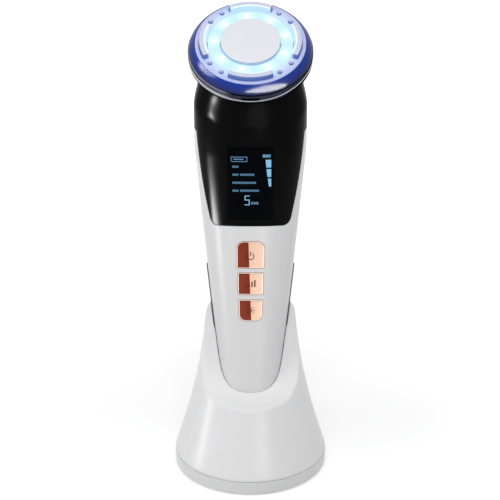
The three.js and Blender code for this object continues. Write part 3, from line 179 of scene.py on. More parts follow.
# Dock
DOCK_RADIUS = 39
DOCK_TOP_RADIUS = 22.5
DOCK_HEIGHT = 88
DOCK_TOP_SHIFT = 3
DOCK_TOP_ROUND = 6
DOCK_WALL = 2.4
DOCK_FLARE = 1.66
DOCK_FLARE_START = 0.015
DOCK_EDGE = 0.9
DOCK_RIM_ROUND = 0.8  # edge between the dished front and the cone
WELL_RIM_ROUND = 0.5
WELL_FLOOR_ROUND = 1.5
WELL_CLEARANCE = 0.2
END_CLEARANCE = 0.8
BAND_HEIGHT = 7.5
BASE_CHAMFER = 1
SEAM_CHAMFER = 0.2
BAND_GAP = 0.05  # seen between the dock's shell and its tray
TRAY_FLOOR = 2.4
DISH_CURVE = [(-48, 39.4), (-28.6, 42.8), (-17.2, 47.2), (-8, 55.6), (0, 72), (6, 88), (9, 100)]
PAD_RADIUS = 34
PAD_THICKNESS = 1.6
PAD_STANDING = 0.8
SCREW_CIRCLE_RADIUS = 31.4
SCREW_ANGLES = (30, 150, 270)
SCREW_RADIUS = 1.4
SCREW_HEAD_RADIUS = 2.3
SCREW_HEAD_HEIGHT = 1.6
SCREW_LENGTH = 9
BOSS_RADIUS = 3.4
BOSS_HEIGHT = 16
CONTACT_SPACING = 9
CONTACT_FORWARD = 2.6
CONTACT_RADIUS = 1.8
CONTACT_THICKNESS = 1.4
CONTACT_STEM_RADIUS = 0.8
PIN_RADIUS = 1
INLET_HEIGHT = 13
INLET_WIDTH = 8.9
INLET_THICKNESS = 3.2
POST_RADIUS = 2
INLET_POST_X = 6
INLET_POST_Y = 25.1
INLET_POST_TOP = 9.6

# How finely shapes are cut
BODY_SIDES = 160
HOLLOW_SIDES = 64
BODY_STEP = 2.5
NECK_STEPS = 36
TURNED_SIDES = 144
GRID_STEP = 0.8  # cell of the dock's surface
NUDGE = 0.02  # for slopes of a distance

HANDLE_POSE = Matrix.Translation(Vector(HANDLE_TIP)) @ Matrix.Rotation(-HANDLE_LEAN, 4, "X")
HEAD_POSE = (
    HANDLE_POSE
    @ Matrix.Translation((0, -FACE_OFFSET, FACE_HEIGHT))
    @ Matrix.Rotation(HEAD_TILT, 4, "X")
)
DOCK_POSE = Matrix.Identity(4)


# Mesh tools


def placed(name, data):
    """A new object in the scene."""
    thing = bpy.data.objects.new(name, data)
    bpy.context.scene.collection.objects.link(thing)
    return thing


def mesh_piece(name, points, faces):
    """An object in millimetres with its faces turned outwards."""
    mesh = bpy.data.meshes.new(name)
    mesh.from_pydata([tuple(p) for p in points], [], [tuple(f) for f in faces])
    work = bmesh.new()
    work.from_mesh(mesh)
    bmesh.ops.recalc_face_normals(work, faces=work.faces)
    work.to_mesh(mesh)
    work.free()
    return placed(name, mesh)


def combined(first, second, operation, keep=False):
    """first after a boolean with second, which is removed unless it is kept."""
    modifier = first.modifiers.new("combine", "BOOLEAN")
    modifier.solver = "MANIFOLD"
    modifier.operation = operation
    modifier.object = second
    graph = bpy.context.evaluated_depsgraph_get()
    mesh = bpy.data.meshes.new_from_object(first.evaluated_get(graph))
    first.modifiers.clear()
    first.data = mesh
    if not keep:
        bpy.data.objects.remove(second)
    return first


def applied(operation):
    """A function that combines its first piece with each of the others."""

    def apply(first, *others):
        for other in others:
            combined(first, other, operation)
        return first

    return apply


cut, joined, shared = applied("DIFFERENCE"), applied("UNION"), applied("INTERSECT")


def merged(first, *others):
    """Several closed meshes in one object, without a boolean."""
    work = bmesh.new()
    for piece in (first, *others):
        work.from_mesh(piece.data)
    work.to_mesh(first.data)
    work.free()
    for piece in others:
        bpy.data.objects.remove(piece)
    return first


def copy_of(piece):
    return placed(piece.name, piece.data.copy())


def bands(levels, count, closed=False):
    """Quads between rings of count points that follow each other in one list."""
    faces = []
    for level in range(levels if closed else levels - 1):
        low, high = level * count, (level + 1) % levels * count
        for i in range(count):
            j = (i + 1) % count
            faces.append((low + i, low + j, high + j, high + i))
    return faces


def fan(hub, level, count):
    """Triangles from a hub point to the ring at a level."""
    return [(hub, level * count + i, level * count + (i + 1) % count) for i in range(count)]


def skin(name, rings):
    """A closed skin over rings of equal length, with a flat fan at both ends."""
    count = len(rings[0])
    points = [p for ring in rings for p in ring]
    faces = bands(len(rings), count)
    for level in (0, len(rings) - 1):
        faces += fan(len(points), level, count)
        points.append(np.mean(np.asarray(rings[level]), axis=0))
    return mesh_piece(name, points, faces)


def circle_part(u, v, radius, start, end, steps):
    """Points of a circle round (u, v) from one angle to another, in degrees."""
    angles = [math.radians(start + (end - start) * k / steps) for k in range(steps + 1)]
    return [(u + radius * math.cos(a), v + radius * math.sin(a)) for a in angles]


def divided(first, last, parts):
    """The first of two points and those that divide the way to the last into equal parts."""
    return [tuple(a + (b - a) * k / parts for a, b in zip(first, last)) for k in range(parts)]


def block(x0, x1, y0, y1, z0, z1):
    ring = [(x0, y0), (x1, y0), (x1, y1), (x0, y1)]
    return skin("block", [[(x, y, z) for x, y in ring] for z in (z0, z1)])


def rod(radius, z0, z1, x=0.0, y=0.0, sides=48):
    ring = circle_part(x, y, radius, 0, 360, sides)[:-1]
    return skin("rod", [[(u, v, z) for u, v in ring] for z in (z0, z1)])


def prism(outline, low, high, up=False):
    """An outline of (x, z) pushed along Y, or one of (x, y) pushed up Z."""
    count = len(outline)
    points = [(u, v, w) if up else (u, w, v) for w in (low, high) for u, v in outline]
    ends = [tuple(range(count)), tuple(range(count, 2 * count))]
    return mesh_piece("prism", points, bands(2, count) + ends)


def turned(name, profile, sides=TURNED_SIDES):
    """A profile of (radius, height) turned round Z, either closed or from the axis to the axis."""
    on_axis = profile[0][0] == 0
    angles = [2 * math.pi * i / sides for i in range(sides)]
    inner = profile[1:-1] if on_axis else profile
    points = [(r * math.cos(a), r * math.sin(a), z) for r, z in inner for a in angles]
    faces = bands(len(inner), sides, closed=not on_axis)
    if on_axis:
        for level, z in ((0, profile[0][1]), (len(inner) - 1, profile[-1][1])):
            faces += fan(len(points), level, sides)
            points.append((0, 0, z))
    return mesh_piece(name, points, faces)


def softened(corners, steps=5):
    """A polygon of (u, v, radius) corners as (u, v) points, with each corner rounded."""
    line = []
    for i, (u, v, radius) in enumerate(corners):
        here = Vector((u, v))
        before = Vector(corners[i - 1][:2]) - here
        after = Vector(corners[(i + 1) % len(corners)][:2]) - here
        if radius == 0:
            line.append((u, v))
            continue
        half = before.angle(after) / 2
        reach = radius / math.tan(half)
        start = here + before.normalized() * reach
        end = here + after.normalized() * reach
        way = (before.normalized() + after.normalized()).normalized()
        middle = here + way * (radius / math.sin(half))
        first, last = start - middle, end - middle
        turn = first.angle_signed(last)
        for k in range(steps + 1):
            spoke = first.copy()
            spoke.rotate(Matrix.Rotation(-turn * k / steps, 2))
            line.append(tuple(middle + spoke))
    return line


def rounded_box(width, low, high, low_radius, high_radius, inset=0.0, pitch=1.0, steps=8):
    """A rectangle standing on v = low, with its own corner radius at the foot and at the head.

    It has the same number of points whatever the inset.
    """
    half = width / 2 - inset
    corners = []
    for side, edge, radius, start in (
        (1, low, low_radius, -90),
        (1, high, high_radius, 0),
        (-1, high, high_radius, 90),
        (-1, low, low_radius, 180),
    ):
        small = max(radius - inset, 0.02)
        v = low + inset + small if edge == low else high - inset - small
        corners.append(circle_part(side * (half - small), v, small, start, start + 90, steps))
    upright = max(1, round((high - low - low_radius - high_radius) / pitch))
    head = max(1, round((width - 2 * high_radius) / pitch))
    foot = max(1, round((width - 2 * low_radius) / pitch))
    line = []
    for i, parts in enumerate((upright, head, upright, foot)):
        line += corners[i] + divided(corners[i][-1], corners[(i + 1) % 4][0], parts)[1:]
    return line


def fill_inside(outline, pitch):
    """Triangles over an outline, with points inside it so that they can follow a curved surface."""
    outline = [Vector(p) for p in outline]
    us, vs = [p.x for p in outline], [p.y for p in outline]
    edges = [(outline[i - 1], p) for i, p in enumerate(outline)]
    near = pitch * 0.4  # room left between the outline and the points inside
    extra = []
    for u in np.arange(min(us) + pitch / 2, max(us), pitch):
        for v in np.arange(min(vs) + pitch / 2, max(vs), pitch):
            crossed = sum(
                (a.y > v) != (b.y > v) and u < a.x + (v - a.y) / (b.y - a.y) * (b.x - a.x)
                for a, b in edges
            )
            here = Vector((u, v))
            if crossed % 2 and all(distance_to_segment(here, a, b) > near for a, b in edges):
                extra.append(here)
    count = len(outline)
    made = delaunay_2d_cdt(outline + extra, [], [list(range(count))], 1, 1e-6)
    return made[0], made[2], made[3]


def distance_to_segment(point, a, b):
    along = b - a
    length = along.length_squared
    share = 0 if length == 0 else min(1, max(0, (point - a).dot(along) / length))
    return (point - a - along * share).length


def cap_piece(name, outline, levels, surface, pitch=1.0, back=None):
    """A plate that follows a surface.

    outline(inset) gives the same number of (u, v) points for every inset, levels are (height,
    inset) pairs from the back to the top, and surface(u, v, height) is a point in space. back
    moves a point of the first ring, for a plate with a flat back.
    """
    rings = [[surface(u, v, height) for u, v in outline(inset)] for height, inset in levels]
    if back:
        rings[0] = [back(p) for p in rings[0]]
    count = len(rings[0])
    points = [p for ring in rings for p in ring]
    faces = bands(len(rings), count)
    for level in (len(levels) - 1, 0):
        height, inset = levels[level]
        flat, triangles, sources = fill_inside(outline(inset), pitch)
        index = []
        for point, source in zip(flat, sources):
            known = [s for s in source if s < count]
            if known:
                index.append(level * count + known[0])
            else:
                index.append(len(points))
                at = surface(point[0], point[1], height)
                points.append(back(at) if back and level == 0 else at)
        faces += [tuple(index[i] for i in triangle) for triangle in triangles]
    return mesh_piece(name, points, faces)


def edge_levels(low, high, edge, steps=4):
    """Levels of a plate from low to high with a rounded upper edge."""
    levels = [(low, 0.0)]
    for k in range(steps + 1):
        angle = math.pi / 2 * k / steps
        levels.append((high - edge * (1 - math.sin(angle)), edge * (1 - math.cos(angle))))
    return levels


# The handle's form


def hermite(p0, m0, p1, m1, t):
    """A cubic from p0 to p1 with slopes m0 and m1."""
    t2, t3 = t * t, t * t * t
    start = (2 * t3 - 3 * t2 + 1) * p0 + (t3 - 2 * t2 + t) * m0
    return start + (3 * t2 - 2 * t3) * p1 + (t3 - t2) * m1


def smooth_through(points, at):
    """A smooth function through (position, value) points. at may be an array."""
    xs = np.array([p[0] for p in points], float)
    ys = np.array([p[1] for p in points], float)
    slopes = np.empty(len(points))
    for i in range(len(points)):
        before, after = max(i - 1, 0), min(i + 1, len(points) - 1)
        slopes[i] = (ys[after] - ys[before]) / (xs[after] - xs[before])
    at = np.asarray(at, float)
    i = np.clip(np.searchsorted(xs, at, side="left") - 1, 0, len(points) - 2)
    span = xs[i + 1] - xs[i]
    return hermite(ys[i], slopes[i] * span, ys[i + 1], slopes[i + 1] * span, (at - xs[i]) / span)


def squircle(angle, squareness):
    c, s = np.cos(angle), np.sin(angle)
    power = 2 / squareness
    return np.sign(c) * np.abs(c) ** power, np.sign(s) * np.abs(s) ** power


def rest_of(share, squareness=BODY_SQUARENESS):
    """What is left of one half-axis of a section at a share of the other."""
    return (1 - share**squareness) ** (1 / squareness)


def ring_angles(count):
    return (np.arange(count) + 0.5) * 2 * math.pi / count


def depth_at(y, height):
    """How deep the handle is at a height, to the front where y is below zero, or to the back."""
    front, back = smooth_through(FRONT_DEPTHS, height), smooth_through(BACK_DEPTHS, height)
    return np.where(y < 0, front, back)


def body_ring(height, grow, sides):
    at = max(height, 0)
    c, s = squircle(ring_angles(sides), BODY_SQUARENESS)
    x = c * (smooth_through(HALF_WIDTHS, at) + grow)
    y = s * (depth_at(s, at) + grow)
    return np.stack([x, y, np.full(sides, float(height))], axis=1)


def neck_section(share):
    """What shapes the neck at a share of the way from chest to head."""
    foot_y = -FACE_OFFSET + math.sin(HEAD_TILT) * HEAD_FOOT
    foot_z = FACE_HEIGHT - math.cos(HEAD_TILT) * HEAD_FOOT
    reach = (foot_z - CHEST_HEIGHT) / math.sin(HEAD_TILT)
    hinge = foot_y - reach * math.cos(HEAD_TILT)
    angle = share * HEAD_TILT
    front_end = (reach - CHEST_HALF_WIDTH) * math.cos(HEAD_TILT)
    back_end = (reach + CHEST_HALF_WIDTH) * math.cos(HEAD_TILT)
    front = hermite(
        -hinge - CHEST_FRONT_DEPTH, -NECK_FRONT_BOW, front_end, NECK_FRONT_BOW, share
    )
    back = hermite(-hinge + CHEST_BACK_DEPTH, NECK_BACK_RISE, back_end, -NECK_BACK_BULGE, share)
    late = min(1, max(0, (share - NECK_TUCK_START) / (NECK_TUCK_END - NECK_TUCK_START)))
    tuck = NECK_TUCK * late * late * (3 - 2 * late)
    side = CHEST_HALF_WIDTH + NECK_SWELL * share * (1 - share) - tuck
    near, far = front / math.cos(angle) + tuck, back / math.cos(angle) - tuck
    middle = -hinge + (near + hinge + far + hinge) / 2
    axis_at = -hinge + (middle + hinge) * share
    squareness = BODY_SQUARENESS + (2 - BODY_SQUARENESS) * share
    return hinge, angle, near, far, axis_at, side, squareness


def neck_ring(share, grow, sides):
    hinge, angle, near, far, axis_at, side, squareness = neck_section(share)
    c, s = squircle(ring_angles(sides), squareness)
    run = axis_at + s * (np.where(s < 0, axis_at - near, far - axis_at) + grow)
    x = c * (side + grow)
    y, z = hinge + run * math.cos(angle), CHEST_HEIGHT + run * math.sin(angle)
    return np.stack([x, y, z], axis=1)


def body_heights(start, step):
    steps = math.ceil((CHEST_HEIGHT - start) / step)
    return [start + (CHEST_HEIGHT - start) * i / steps for i in range(steps)]


def handle_form(grow, sides=BODY_SIDES, step=BODY_STEP, neck_steps=NECK_STEPS):
    """The whole form of the handle from its rounded lower end to the head's foot."""
    tip = circle_part(TIP_ROUND, TIP_ROUND, -TIP_ROUND, 0, 90, 8)[:-1]
    rings = [body_ring(height - grow, grow - inset, sides) for height, inset in tip]
    rings += [body_ring(height, grow, sides) for height in body_heights(TIP_ROUND, step)]
    rings += [neck_ring(i / neck_steps, grow, sides) for i in range(neck_steps + 1)]
    return skin("handle form", rings)


def handle_hollow():
    rings = [body_ring(height, -WALL, HOLLOW_SIDES) for height in body_heights(TIP_FLOOR, 6)]
    rings += [neck_ring(i / 12, -WALL, HOLLOW_SIDES) for i in range(13)]
    rings.append(rings[-1] + np.array([0, -math.sin(HEAD_TILT), math.cos(HEAD_TILT)]))
    return skin("handle hollow", rings)


def front_distance(x, height, grow=0.0):
    """How far the front surface stands before the handle's axis, at a place across and up it."""
    if height <= CHEST_HEIGHT:
        rest = rest_of(abs(x) / (float(smooth_through(HALF_WIDTHS, height)) + grow))
        return (float(smooth_through(FRONT_DEPTHS, height)) + grow) * rest
    low, high = 0.0, 1.0
    y = 0.0
    for _ in range(30):
        middle = (low + high) / 2
        hinge, angle, near, far, axis_at, side, squareness = neck_section(middle)
        run = axis_at - rest_of(abs(x) / (side + grow), squareness) * (axis_at - near + grow)
        y = hinge + run * math.cos(angle)
        if CHEST_HEIGHT + run * math.sin(angle) < height:
            low = middle
        else:
            high = middle
    return -y


def side_distance(y, height):
    depth = smooth_through(FRONT_DEPTHS if y < 0 else BACK_DEPTHS, height)
    return float(smooth_through(HALF_WIDTHS, height)) * rest_of(abs(y) / float(depth))


def on_front(x, z, height):
    return (x, -front_distance(x, z) - height, z)


# Materials

GLOSS_SPREAD = 0.02
BUMP_DEPTH = 0.0001  # in metres
BUTTON_REFLECTION_SPLIT_HEIGHT = 78.7  # where the line between the painted reflection's dark and light halves crosses the middle
BUTTON_REFLECTION_SPLIT_LEAN = 0.0345


class Graph:
    """A node tree. What goes into a node may be a socket, a colour or a number."""

    def __init__(self, tree):
        self.tree = tree

    def feed(self, socket, value):
        if isinstance(value, bpy.types.NodeSocket):
            self.tree.links.new(value, socket)
        else:
            socket.default_value = (*value, 1) if isinstance(value, tuple) else value

    def new(self, kind, *inputs, **settings):
        """A node with its first inputs fed in order."""
        node = self.tree.nodes.new("ShaderNode" + kind)
        for key, value in settings.items():
            setattr(node, key, value)
        for socket, value in zip(node.inputs, inputs):
            self.feed(socket, value)
        return node

    def math(self, operation, first, second=0.0):
        return self.new("Math", first, second, operation=operation).outputs[0]

    def plus(self, first, second):
        return self.math("ADD", first, second)

    def minus(self, first, second):
        return self.math("SUBTRACT", first, second)

    def times(self, first, second):
        return self.math("MULTIPLY", first, second)

    def over(self, first, second):
        return self.math("DIVIDE", first, second)

    def range(self, value, low, high, to_low=0.0, to_high=1.0):
        """value from low to high as a number from to_low to to_high."""
        return self.new("MapRange", value, low, high, to_low, to_high).outputs["Result"]

    def ramp(self, factor, stops):
        """The colour that runs through (position, colour) stops as factor goes from 0 to 1."""
        node = self.new("ValToRGB", factor)
        elements = node.color_ramp.elements
        while len(elements) < len(stops):
            elements.new(1)
        for element, (position, colour) in zip(elements, stops):
            element.position, element.color = position, (*colour, 1)
        return node.outputs["Color"]

    def depth_ramp(self, depth, stops):
        """A colour by depth from (depth, colour) stops."""
        low, high = stops[0][0], stops[-1][0]
        share = self.range(depth, low, high)
        return self.ramp(share, [((d - low) / (high - low), c) for d, c in stops])

    def mix(self, factor, first, second):
        """A colour that is first, or second where factor is 1."""
        node = self.new("Mix", factor, data_type="RGBA")
        self.feed(node.inputs[6], first)
        self.feed(node.inputs[7], second)
        return node.outputs[2]

    def place(self, output="Object"):
        """An object coordinate as (the vector, x, y, z)."""
        place = self.new("TexCoord").outputs[output]
        return place, *self.new("SeparateXYZ", place).outputs

    def noise(self, scale, detail=3):
        """Fine noise over the piece."""
        node = self.new("TexNoise", self.place()[0])
        node.inputs["Scale"].default_value = scale
        node.inputs["Detail"].default_value = detail
        return node.outputs["Fac"]

    def wander(self, scale, amount):
        """A number that wanders slightly over the piece, from 0 to amount."""
        return self.times(self.noise(scale), amount)

    def radius(self, x, y):
        return self.math("SQRT", self.plus(self.times(x, x), self.times(y, y)))

    def head_depth(self):
        """How far below the head's face, in millimetres, with a slight wander."""
        return self.plus(self.times(self.place()[3], -1 / MM), self.wander(300, 0.1))

    def seen_directly(self):
        """1 for what the camera sees itself, by a mirror or through glass, 0 for other light."""
        rays = self.new("LightPath").outputs
        either = self.math("MAXIMUM", rays["Is Camera Ray"], rays["Is Glossy Ray"])
        return self.math("MAXIMUM", either, rays["Is Transmission Ray"])


def material_of(name, look):
    """A new material. look takes its graph and returns the shader's inputs by their names."""
    material = bpy.data.materials.new(name)
    material.use_nodes = True
    graph = Graph(material.node_tree)
    shader = material.node_tree.nodes["Principled BSDF"]
    for key, value in look(graph).items():
        graph.feed(shader.inputs[key], value)
    return material


def surface_material(
    name, colour, roughness, metallic=0.0, grain=400.0, colour_spread=0.02, bump=0.0,
    glow=None, glow_strength=0.0, specular=0.5,
):
    """A plain finish with fine variation in colour and gloss, and an optional fine bump."""

    def look(graph):
        noise = graph.noise(grain)
        low = tuple(c * (1 - colour_spread) for c in colour)
        high = tuple(min(1, c * (1 + colour_spread)) for c in colour)
        values = {
            "Base Color": graph.ramp(noise, [(0.3, low), (0.7, high)]),
            "Roughness": graph.range(
                noise, 0, 1, roughness - GLOSS_SPREAD, roughness + GLOSS_SPREAD
            ),
            "Metallic": metallic,
            "Specular IOR Level": specular,
        }
        if glow:
            values |= {"Emission Color": glow, "Emission Strength": glow_strength}
        if bump:
            relief = graph.new("Bump", bump, BUMP_DEPTH)
            graph.feed(relief.inputs["Height"], noise)
            values["Normal"] = relief.outputs["Normal"]
        return values

    return material_of(name, look)


def chrome(graph):
    """Dark mirror with a painted highlight band round it, broader and lighter on the left as a
    painted reflection of the left lamp; the painted bands are not metallic.
    """
    x = graph.place()[1]
    depth = graph.plus(graph.head_depth(), graph.range(x, 10 * MM, 27 * MM, 0, 0.9))
    dark, light = (0.03, 0.032, 0.05), (0.62, 0.63, 0.68)
    # front: a painted highlight band between dark ones
    front = graph.depth_ramp(
        depth, [(5.2, dark), (7.6, dark), (7.9, light), (8.3, light), (8.9, dark), (10.3, dark)]
    )
    # left: the bands lighter and broader, a painted reflection of the left lamp
    left = graph.depth_ramp(
        depth,
        [(5.2, (0.5, 0.52, 0.62)), (5.5, dark), (6.0, dark), (6.5, (0.13, 0.13, 0.15)),
         (7.5, (0.4, 0.41, 0.44)), (8.0, light), (8.5, light), (9.1, dark), (10.3, dark)],
    )
    colour = graph.mix(graph.range(x, -9 * MM, -14 * MM), front, left)
    return {
        "Base Color": colour,
        "Metallic": graph.range(colour, 0.06, 0.3, 1, 0),
        "Specular Tint": (0.2, 0.2, 0.25),
        "Roughness": 0.12,
    }


def blue(graph):
    """Deep blue clear plastic, with painted shade that makes it darker towards its foot."""
    stops = [
        (0, (0.010, 0.042, 0.33)), (2.5, (0.010, 0.030, 0.24)), (4, (0.009, 0.014, 0.10)),
        (4.9, (0.006, 0.009, 0.06)),
    ]
    colour = graph.depth_ramp(graph.head_depth(), stops)
    return {"Base Color": colour, "Roughness": 0.15, "Specular IOR Level": 0.15}


def light_window(graph):
    """An even cyan glow with a near-white spot over each light."""
    _, x, y, _ = graph.place()
    pitch = 2 * math.pi / LED_COUNT
    turn = graph.minus(graph.math("ARCTAN2", y, x), LED_FIRST_ANGLE - pitch / 2)
    off = graph.minus(graph.math("FRACT", graph.over(turn, pitch)), 0.5)
    along = graph.times(off, pitch * LED_CIRCLE_RADIUS * MM)
    across = graph.minus(graph.radius(x, y), LED_CIRCLE_RADIUS * MM)
    distance = graph.over(graph.radius(along, across), 6 * MM)
    stops = [
        (0.1, (1, 1, 1)), (0.35, (0.75, 0.98, 1)), (0.6, (0.62, 0.88, 0.95)),
        (1, (0.56, 0.80, 0.94)),
    ]
    return {
        "Emission Color": graph.ramp(distance, stops),
        "Emission Strength": 0.85,
        "Base Color": (0.12, 0.2, 0.25),
        "Roughness": 0.25,
    }


def rose_gold(graph):
    """A painted reflection, dark on one half and light on the other, with a painted highlight on
    the rounded edge.
    """
    _, x, _, z = graph.place()
    lean = graph.times(graph.minus(z, BUTTON_REFLECTION_SPLIT_HEIGHT * MM), BUTTON_REFLECTION_SPLIT_LEAN)
    side = graph.plus(graph.plus(x, lean), graph.wander(500, 0.1 * MM))
    painted_reflection_halves = graph.ramp(
        graph.range(side, -7 * MM, 7 * MM),
        [(0, (0.22, 0.042, 0.022)), (0.495, (0.17, 0.031, 0.016)), (0.505, (0.72, 0.47, 0.35)),
         (1, (0.80, 0.58, 0.44))],
    )
    # painted highlight on the button's rounded edge, picked by the surface's facing
    painted_rim_highlight = graph.range(graph.place("Normal")[2], -0.95, -0.88)
    colour = graph.mix(painted_rim_highlight, painted_reflection_halves, (1, 0.80, 0.72))
    return {"Base Color": colour, "Metallic": 1, "Roughness": 0.3}


def painted_shade_and_glow_material(name, shaded_wall_colour, top, roughness, metallic, painted_glow=None):
    """Painted shade and light: a lighter colour on faces that look up and a darker one on walls.

    painted_glow is (radius, reach, colour at the radius, colour beyond) for a painted glow of the
    light that the window spills over the piece.
    """

    def look(graph):
        height = graph.plus(graph.place("Normal")[3], graph.wander(600, 0.05))
        values = {
            "Base Color": graph.ramp(height, [(0.35, shaded_wall_colour), (0.9, top)]),
            "Metallic": metallic,
            "Roughness": roughness,
        }
        if painted_glow:
            radius, reach, near, beyond = painted_glow
            _, x, y, _ = graph.place()
            share = graph.range(graph.radius(x, y), radius * MM, (radius + reach) * MM)
            painted_spill = graph.ramp(share, [(0, near), (1, beyond)])
            values |= {"Emission Color": painted_spill, "Emission Strength": 1}
        return values

    return material_of(name, look)


WHITE = surface_material("white shell", (0.745, 0.745, 0.75), 0.3, colour_spread=0.006)
DOCK_WHITE = surface_material("dock white", (0.82, 0.82, 0.825), 0.3, colour_spread=0.006)
# The tray's white is set darker than the shell's as painted shade, for the lower light it gets
TRAY_WHITE_PAINTED_SHADE = surface_material("tray white", (0.75, 0.75, 0.755), 0.3, colour_spread=0.006)
BLACK = surface_material("black gloss", (0.0015, 0.0015, 0.0018), 0.19, specular=0.04)
GLASS = surface_material("display_glass", (0.001, 0.0015, 0.003), 0.07, specular=0.02)
# Rose gold with a painted reflection in two halves and a painted highlight on its edge
ROSE_GOLD_PAINTED_REFLECTION = material_of("rose gold", rose_gold)
# Chrome with painted highlight bands and a painted reflection on its left
CHROME_PAINTED_HIGHLIGHTS = material_of("chrome", chrome)
# Nearly black faces for the dimple in the metal ring
DIMPLE = surface_material("dimple black", (0.002, 0.003, 0.012), 0.1, specular=0.03)
STRIP = surface_material("dark chrome", (0.09, 0.09, 0.095), 0.22, metallic=1)
# Blue ring with painted shade towards its foot
BLUE_PAINTED_SHADE = material_of("blue ring", blue)
# Face, electrodes, probes and cooling metal: painted shade on walls, lighter tops; face and arcs
# also carry a painted glow
LILAC = painted_shade_and_glow_material(
    "lilac face", (0.3, 0.38, 0.72), (0.46, 0.50, 0.74), 0.3, 0,
    (WINDOW_RADIUS, 5, (0.24, 0.36, 0.36), (0.07, 0.09, 0.15)),
)
ELECTRODE = painted_shade_and_glow_material(
    "electrode", (0.14, 0.22, 0.58), (0.62, 0.65, 0.80), 0.25, 0.25,
    (ARC_INNER_RADIUS, 1.2, (0.40, 0.58, 0.50), (0, 0, 0)),
)
PROBE = painted_shade_and_glow_material("probe", (0.14, 0.2, 0.48), (0.42, 0.48, 0.78), 0.2, 0.3)
WINDOW = material_of("light window", light_window)
COOLING = painted_shade_and_glow_material("cooling metal", (0.45, 0.55, 0.75), (0.80, 0.81, 0.85), 0.42, 0)
BOARD = surface_material("circuit board", (0.02, 0.16, 0.07), 0.45, colour_spread=0.15)
DARK = surface_material("dark plastic", (0.03, 0.03, 0.033), 0.55, grain=900, bump=0.15)
RUBBER = surface_material("rubber", (0.035, 0.035, 0.037), 0.85, grain=900, bump=0.4)
STEEL = surface_material("steel", (0.48, 0.48, 0.50), 0.34, metallic=1)
GOLD = surface_material("gold contact", (0.83, 0.60, 0.24), 0.25, metallic=1)
SINK = surface_material("heat sink metal", (0.66, 0.67, 0.69), 0.42, metallic=1)
CERAMIC = surface_material("ceramic", (0.80, 0.80, 0.77), 0.6, grain=900, bump=0.1)
WRAP = surface_material("battery wrap", (0.05, 0.15, 0.42), 0.4)
SCREEN_BLUE = surface_material(
    "screen_signs", (0.02, 0.05, 0.08), 0.4, glow=(0.2, 0.5, 0.72), glow_strength=0.9
)
SCREEN_DIM = surface_material(
    "screen_list", (0.02, 0.05, 0.08), 0.4, glow=(0.1, 0.25, 0.42), glow_strength=0.75
)
SIGN = surface_material("button signs", (0.12, 0.02, 0.013), 0.5, specular=0.05)

SMOOTH_ANGLE = math.radians(32)


def finished(piece, name, material, slot, *replaces, body="handle", pose=HANDLE_POSE):
    """Names the piece, turns it to metres in its pose, shades it and hangs it on its body."""
    piece.name = name
    piece.data.name = name
    piece.data.transform(Matrix.Scale(MM, 4))
    place = pose.copy()
    place.translation = pose.translation * MM
    piece.matrix_world = place
    piece.data.materials.clear()
    piece.data.materials.append(material)
    piece.data.shade_smooth()
    piece.data.set_sharp_from_angle(angle=SMOOTH_ANGLE)
    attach(piece, body)
    if replaces:
        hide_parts(*replaces)


# Handle shells, neck and display


def bezier(p0, p1, p2, steps):
    """Points of a quadratic curve after its first point."""
    return [
        tuple((1 - t) ** 2 * a + 2 * t * (1 - t) * b + t * t * c for a, b, c in zip(p0, p1, p2))
        for t in (k / steps for k in range(1, steps + 1))
    ]


def panel_outline(grow):
    """The black panel on the front: narrow at the foot, sweeping out to the sides at the notch."""
    bottom = PANEL_BOTTOM - grow
    foot = PANEL_BOTTOM_HALF + grow
    shoulder = PANEL_TOP_HALF + grow
    sweep = NOTCH_HEIGHT - PANEL_FLARE - grow
    top = NOTCH_HEIGHT + SEAM_GAP / 2 - grow
    middle = (PANEL_BOTTOM + PANEL_CORNER + sweep) / 2
    bow = PANEL_MIDDLE_HALF + grow - (foot + shoulder) / 2
    outside = CHEST_HALF_WIDTH + PANEL_FLARE
    half = [(0, bottom), (foot - PANEL_CORNER, bottom)]
    for control, end in (
        ((foot - PANEL_CORNER_LEAN, bottom), (foot, PANEL_BOTTOM + PANEL_CORNER)),
        (((foot + shoulder) / 2 + 2 * bow, middle), (shoulder, sweep)),
        ((shoulder + PANEL_FLARE_LEAN, top), (outside, top)),
    ):
        half += bezier(half[-1], control, end, 20)
    half.append((outside, NOTCH_HEIGHT + PANEL_FLARE))
    return half + [(-x, z) for x, z in reversed(half[1:])]


def display_outline(inset):
    return rounded_box(
        DISPLAY_WIDTH, DISPLAY_BOTTOM, DISPLAY_BOTTOM + DISPLAY_LENGTH,
        DISPLAY_CORNER, DISPLAY_CORNER, inset,
    )


def button_outline(name, inset):
    bottom, length, width, low, high = BUTTONS[name]
    return rounded_box(width, bottom, bottom + length, low, high, inset)


def strip_outline(inset):
    """(y, z) of a side strip, flat at its foot and round at its head."""
    half = STRIP_WIDTH / 2 - inset
    head = STRIP_TOP - STRIP_WIDTH / 2
    foot = STRIP_BOTTOM + inset
    return [
        *divided((half, foot), (half, head), STRIP_STEPS),
        *circle_part(0, head, half, 0, 180, 16),
        *divided((-half, head), (-half, foot), STRIP_STEPS)[1:],
        (-half, foot),
        (0, foot),
    ]


def side_piece(name, side, outline, levels):
    """A plate on one side of the handle, with side -1 for the left and 1 for the right."""
    return cap_piece(
        name, outline, levels, lambda y, z, height: (side * (side_distance(y, z) + height), y, z)
    )


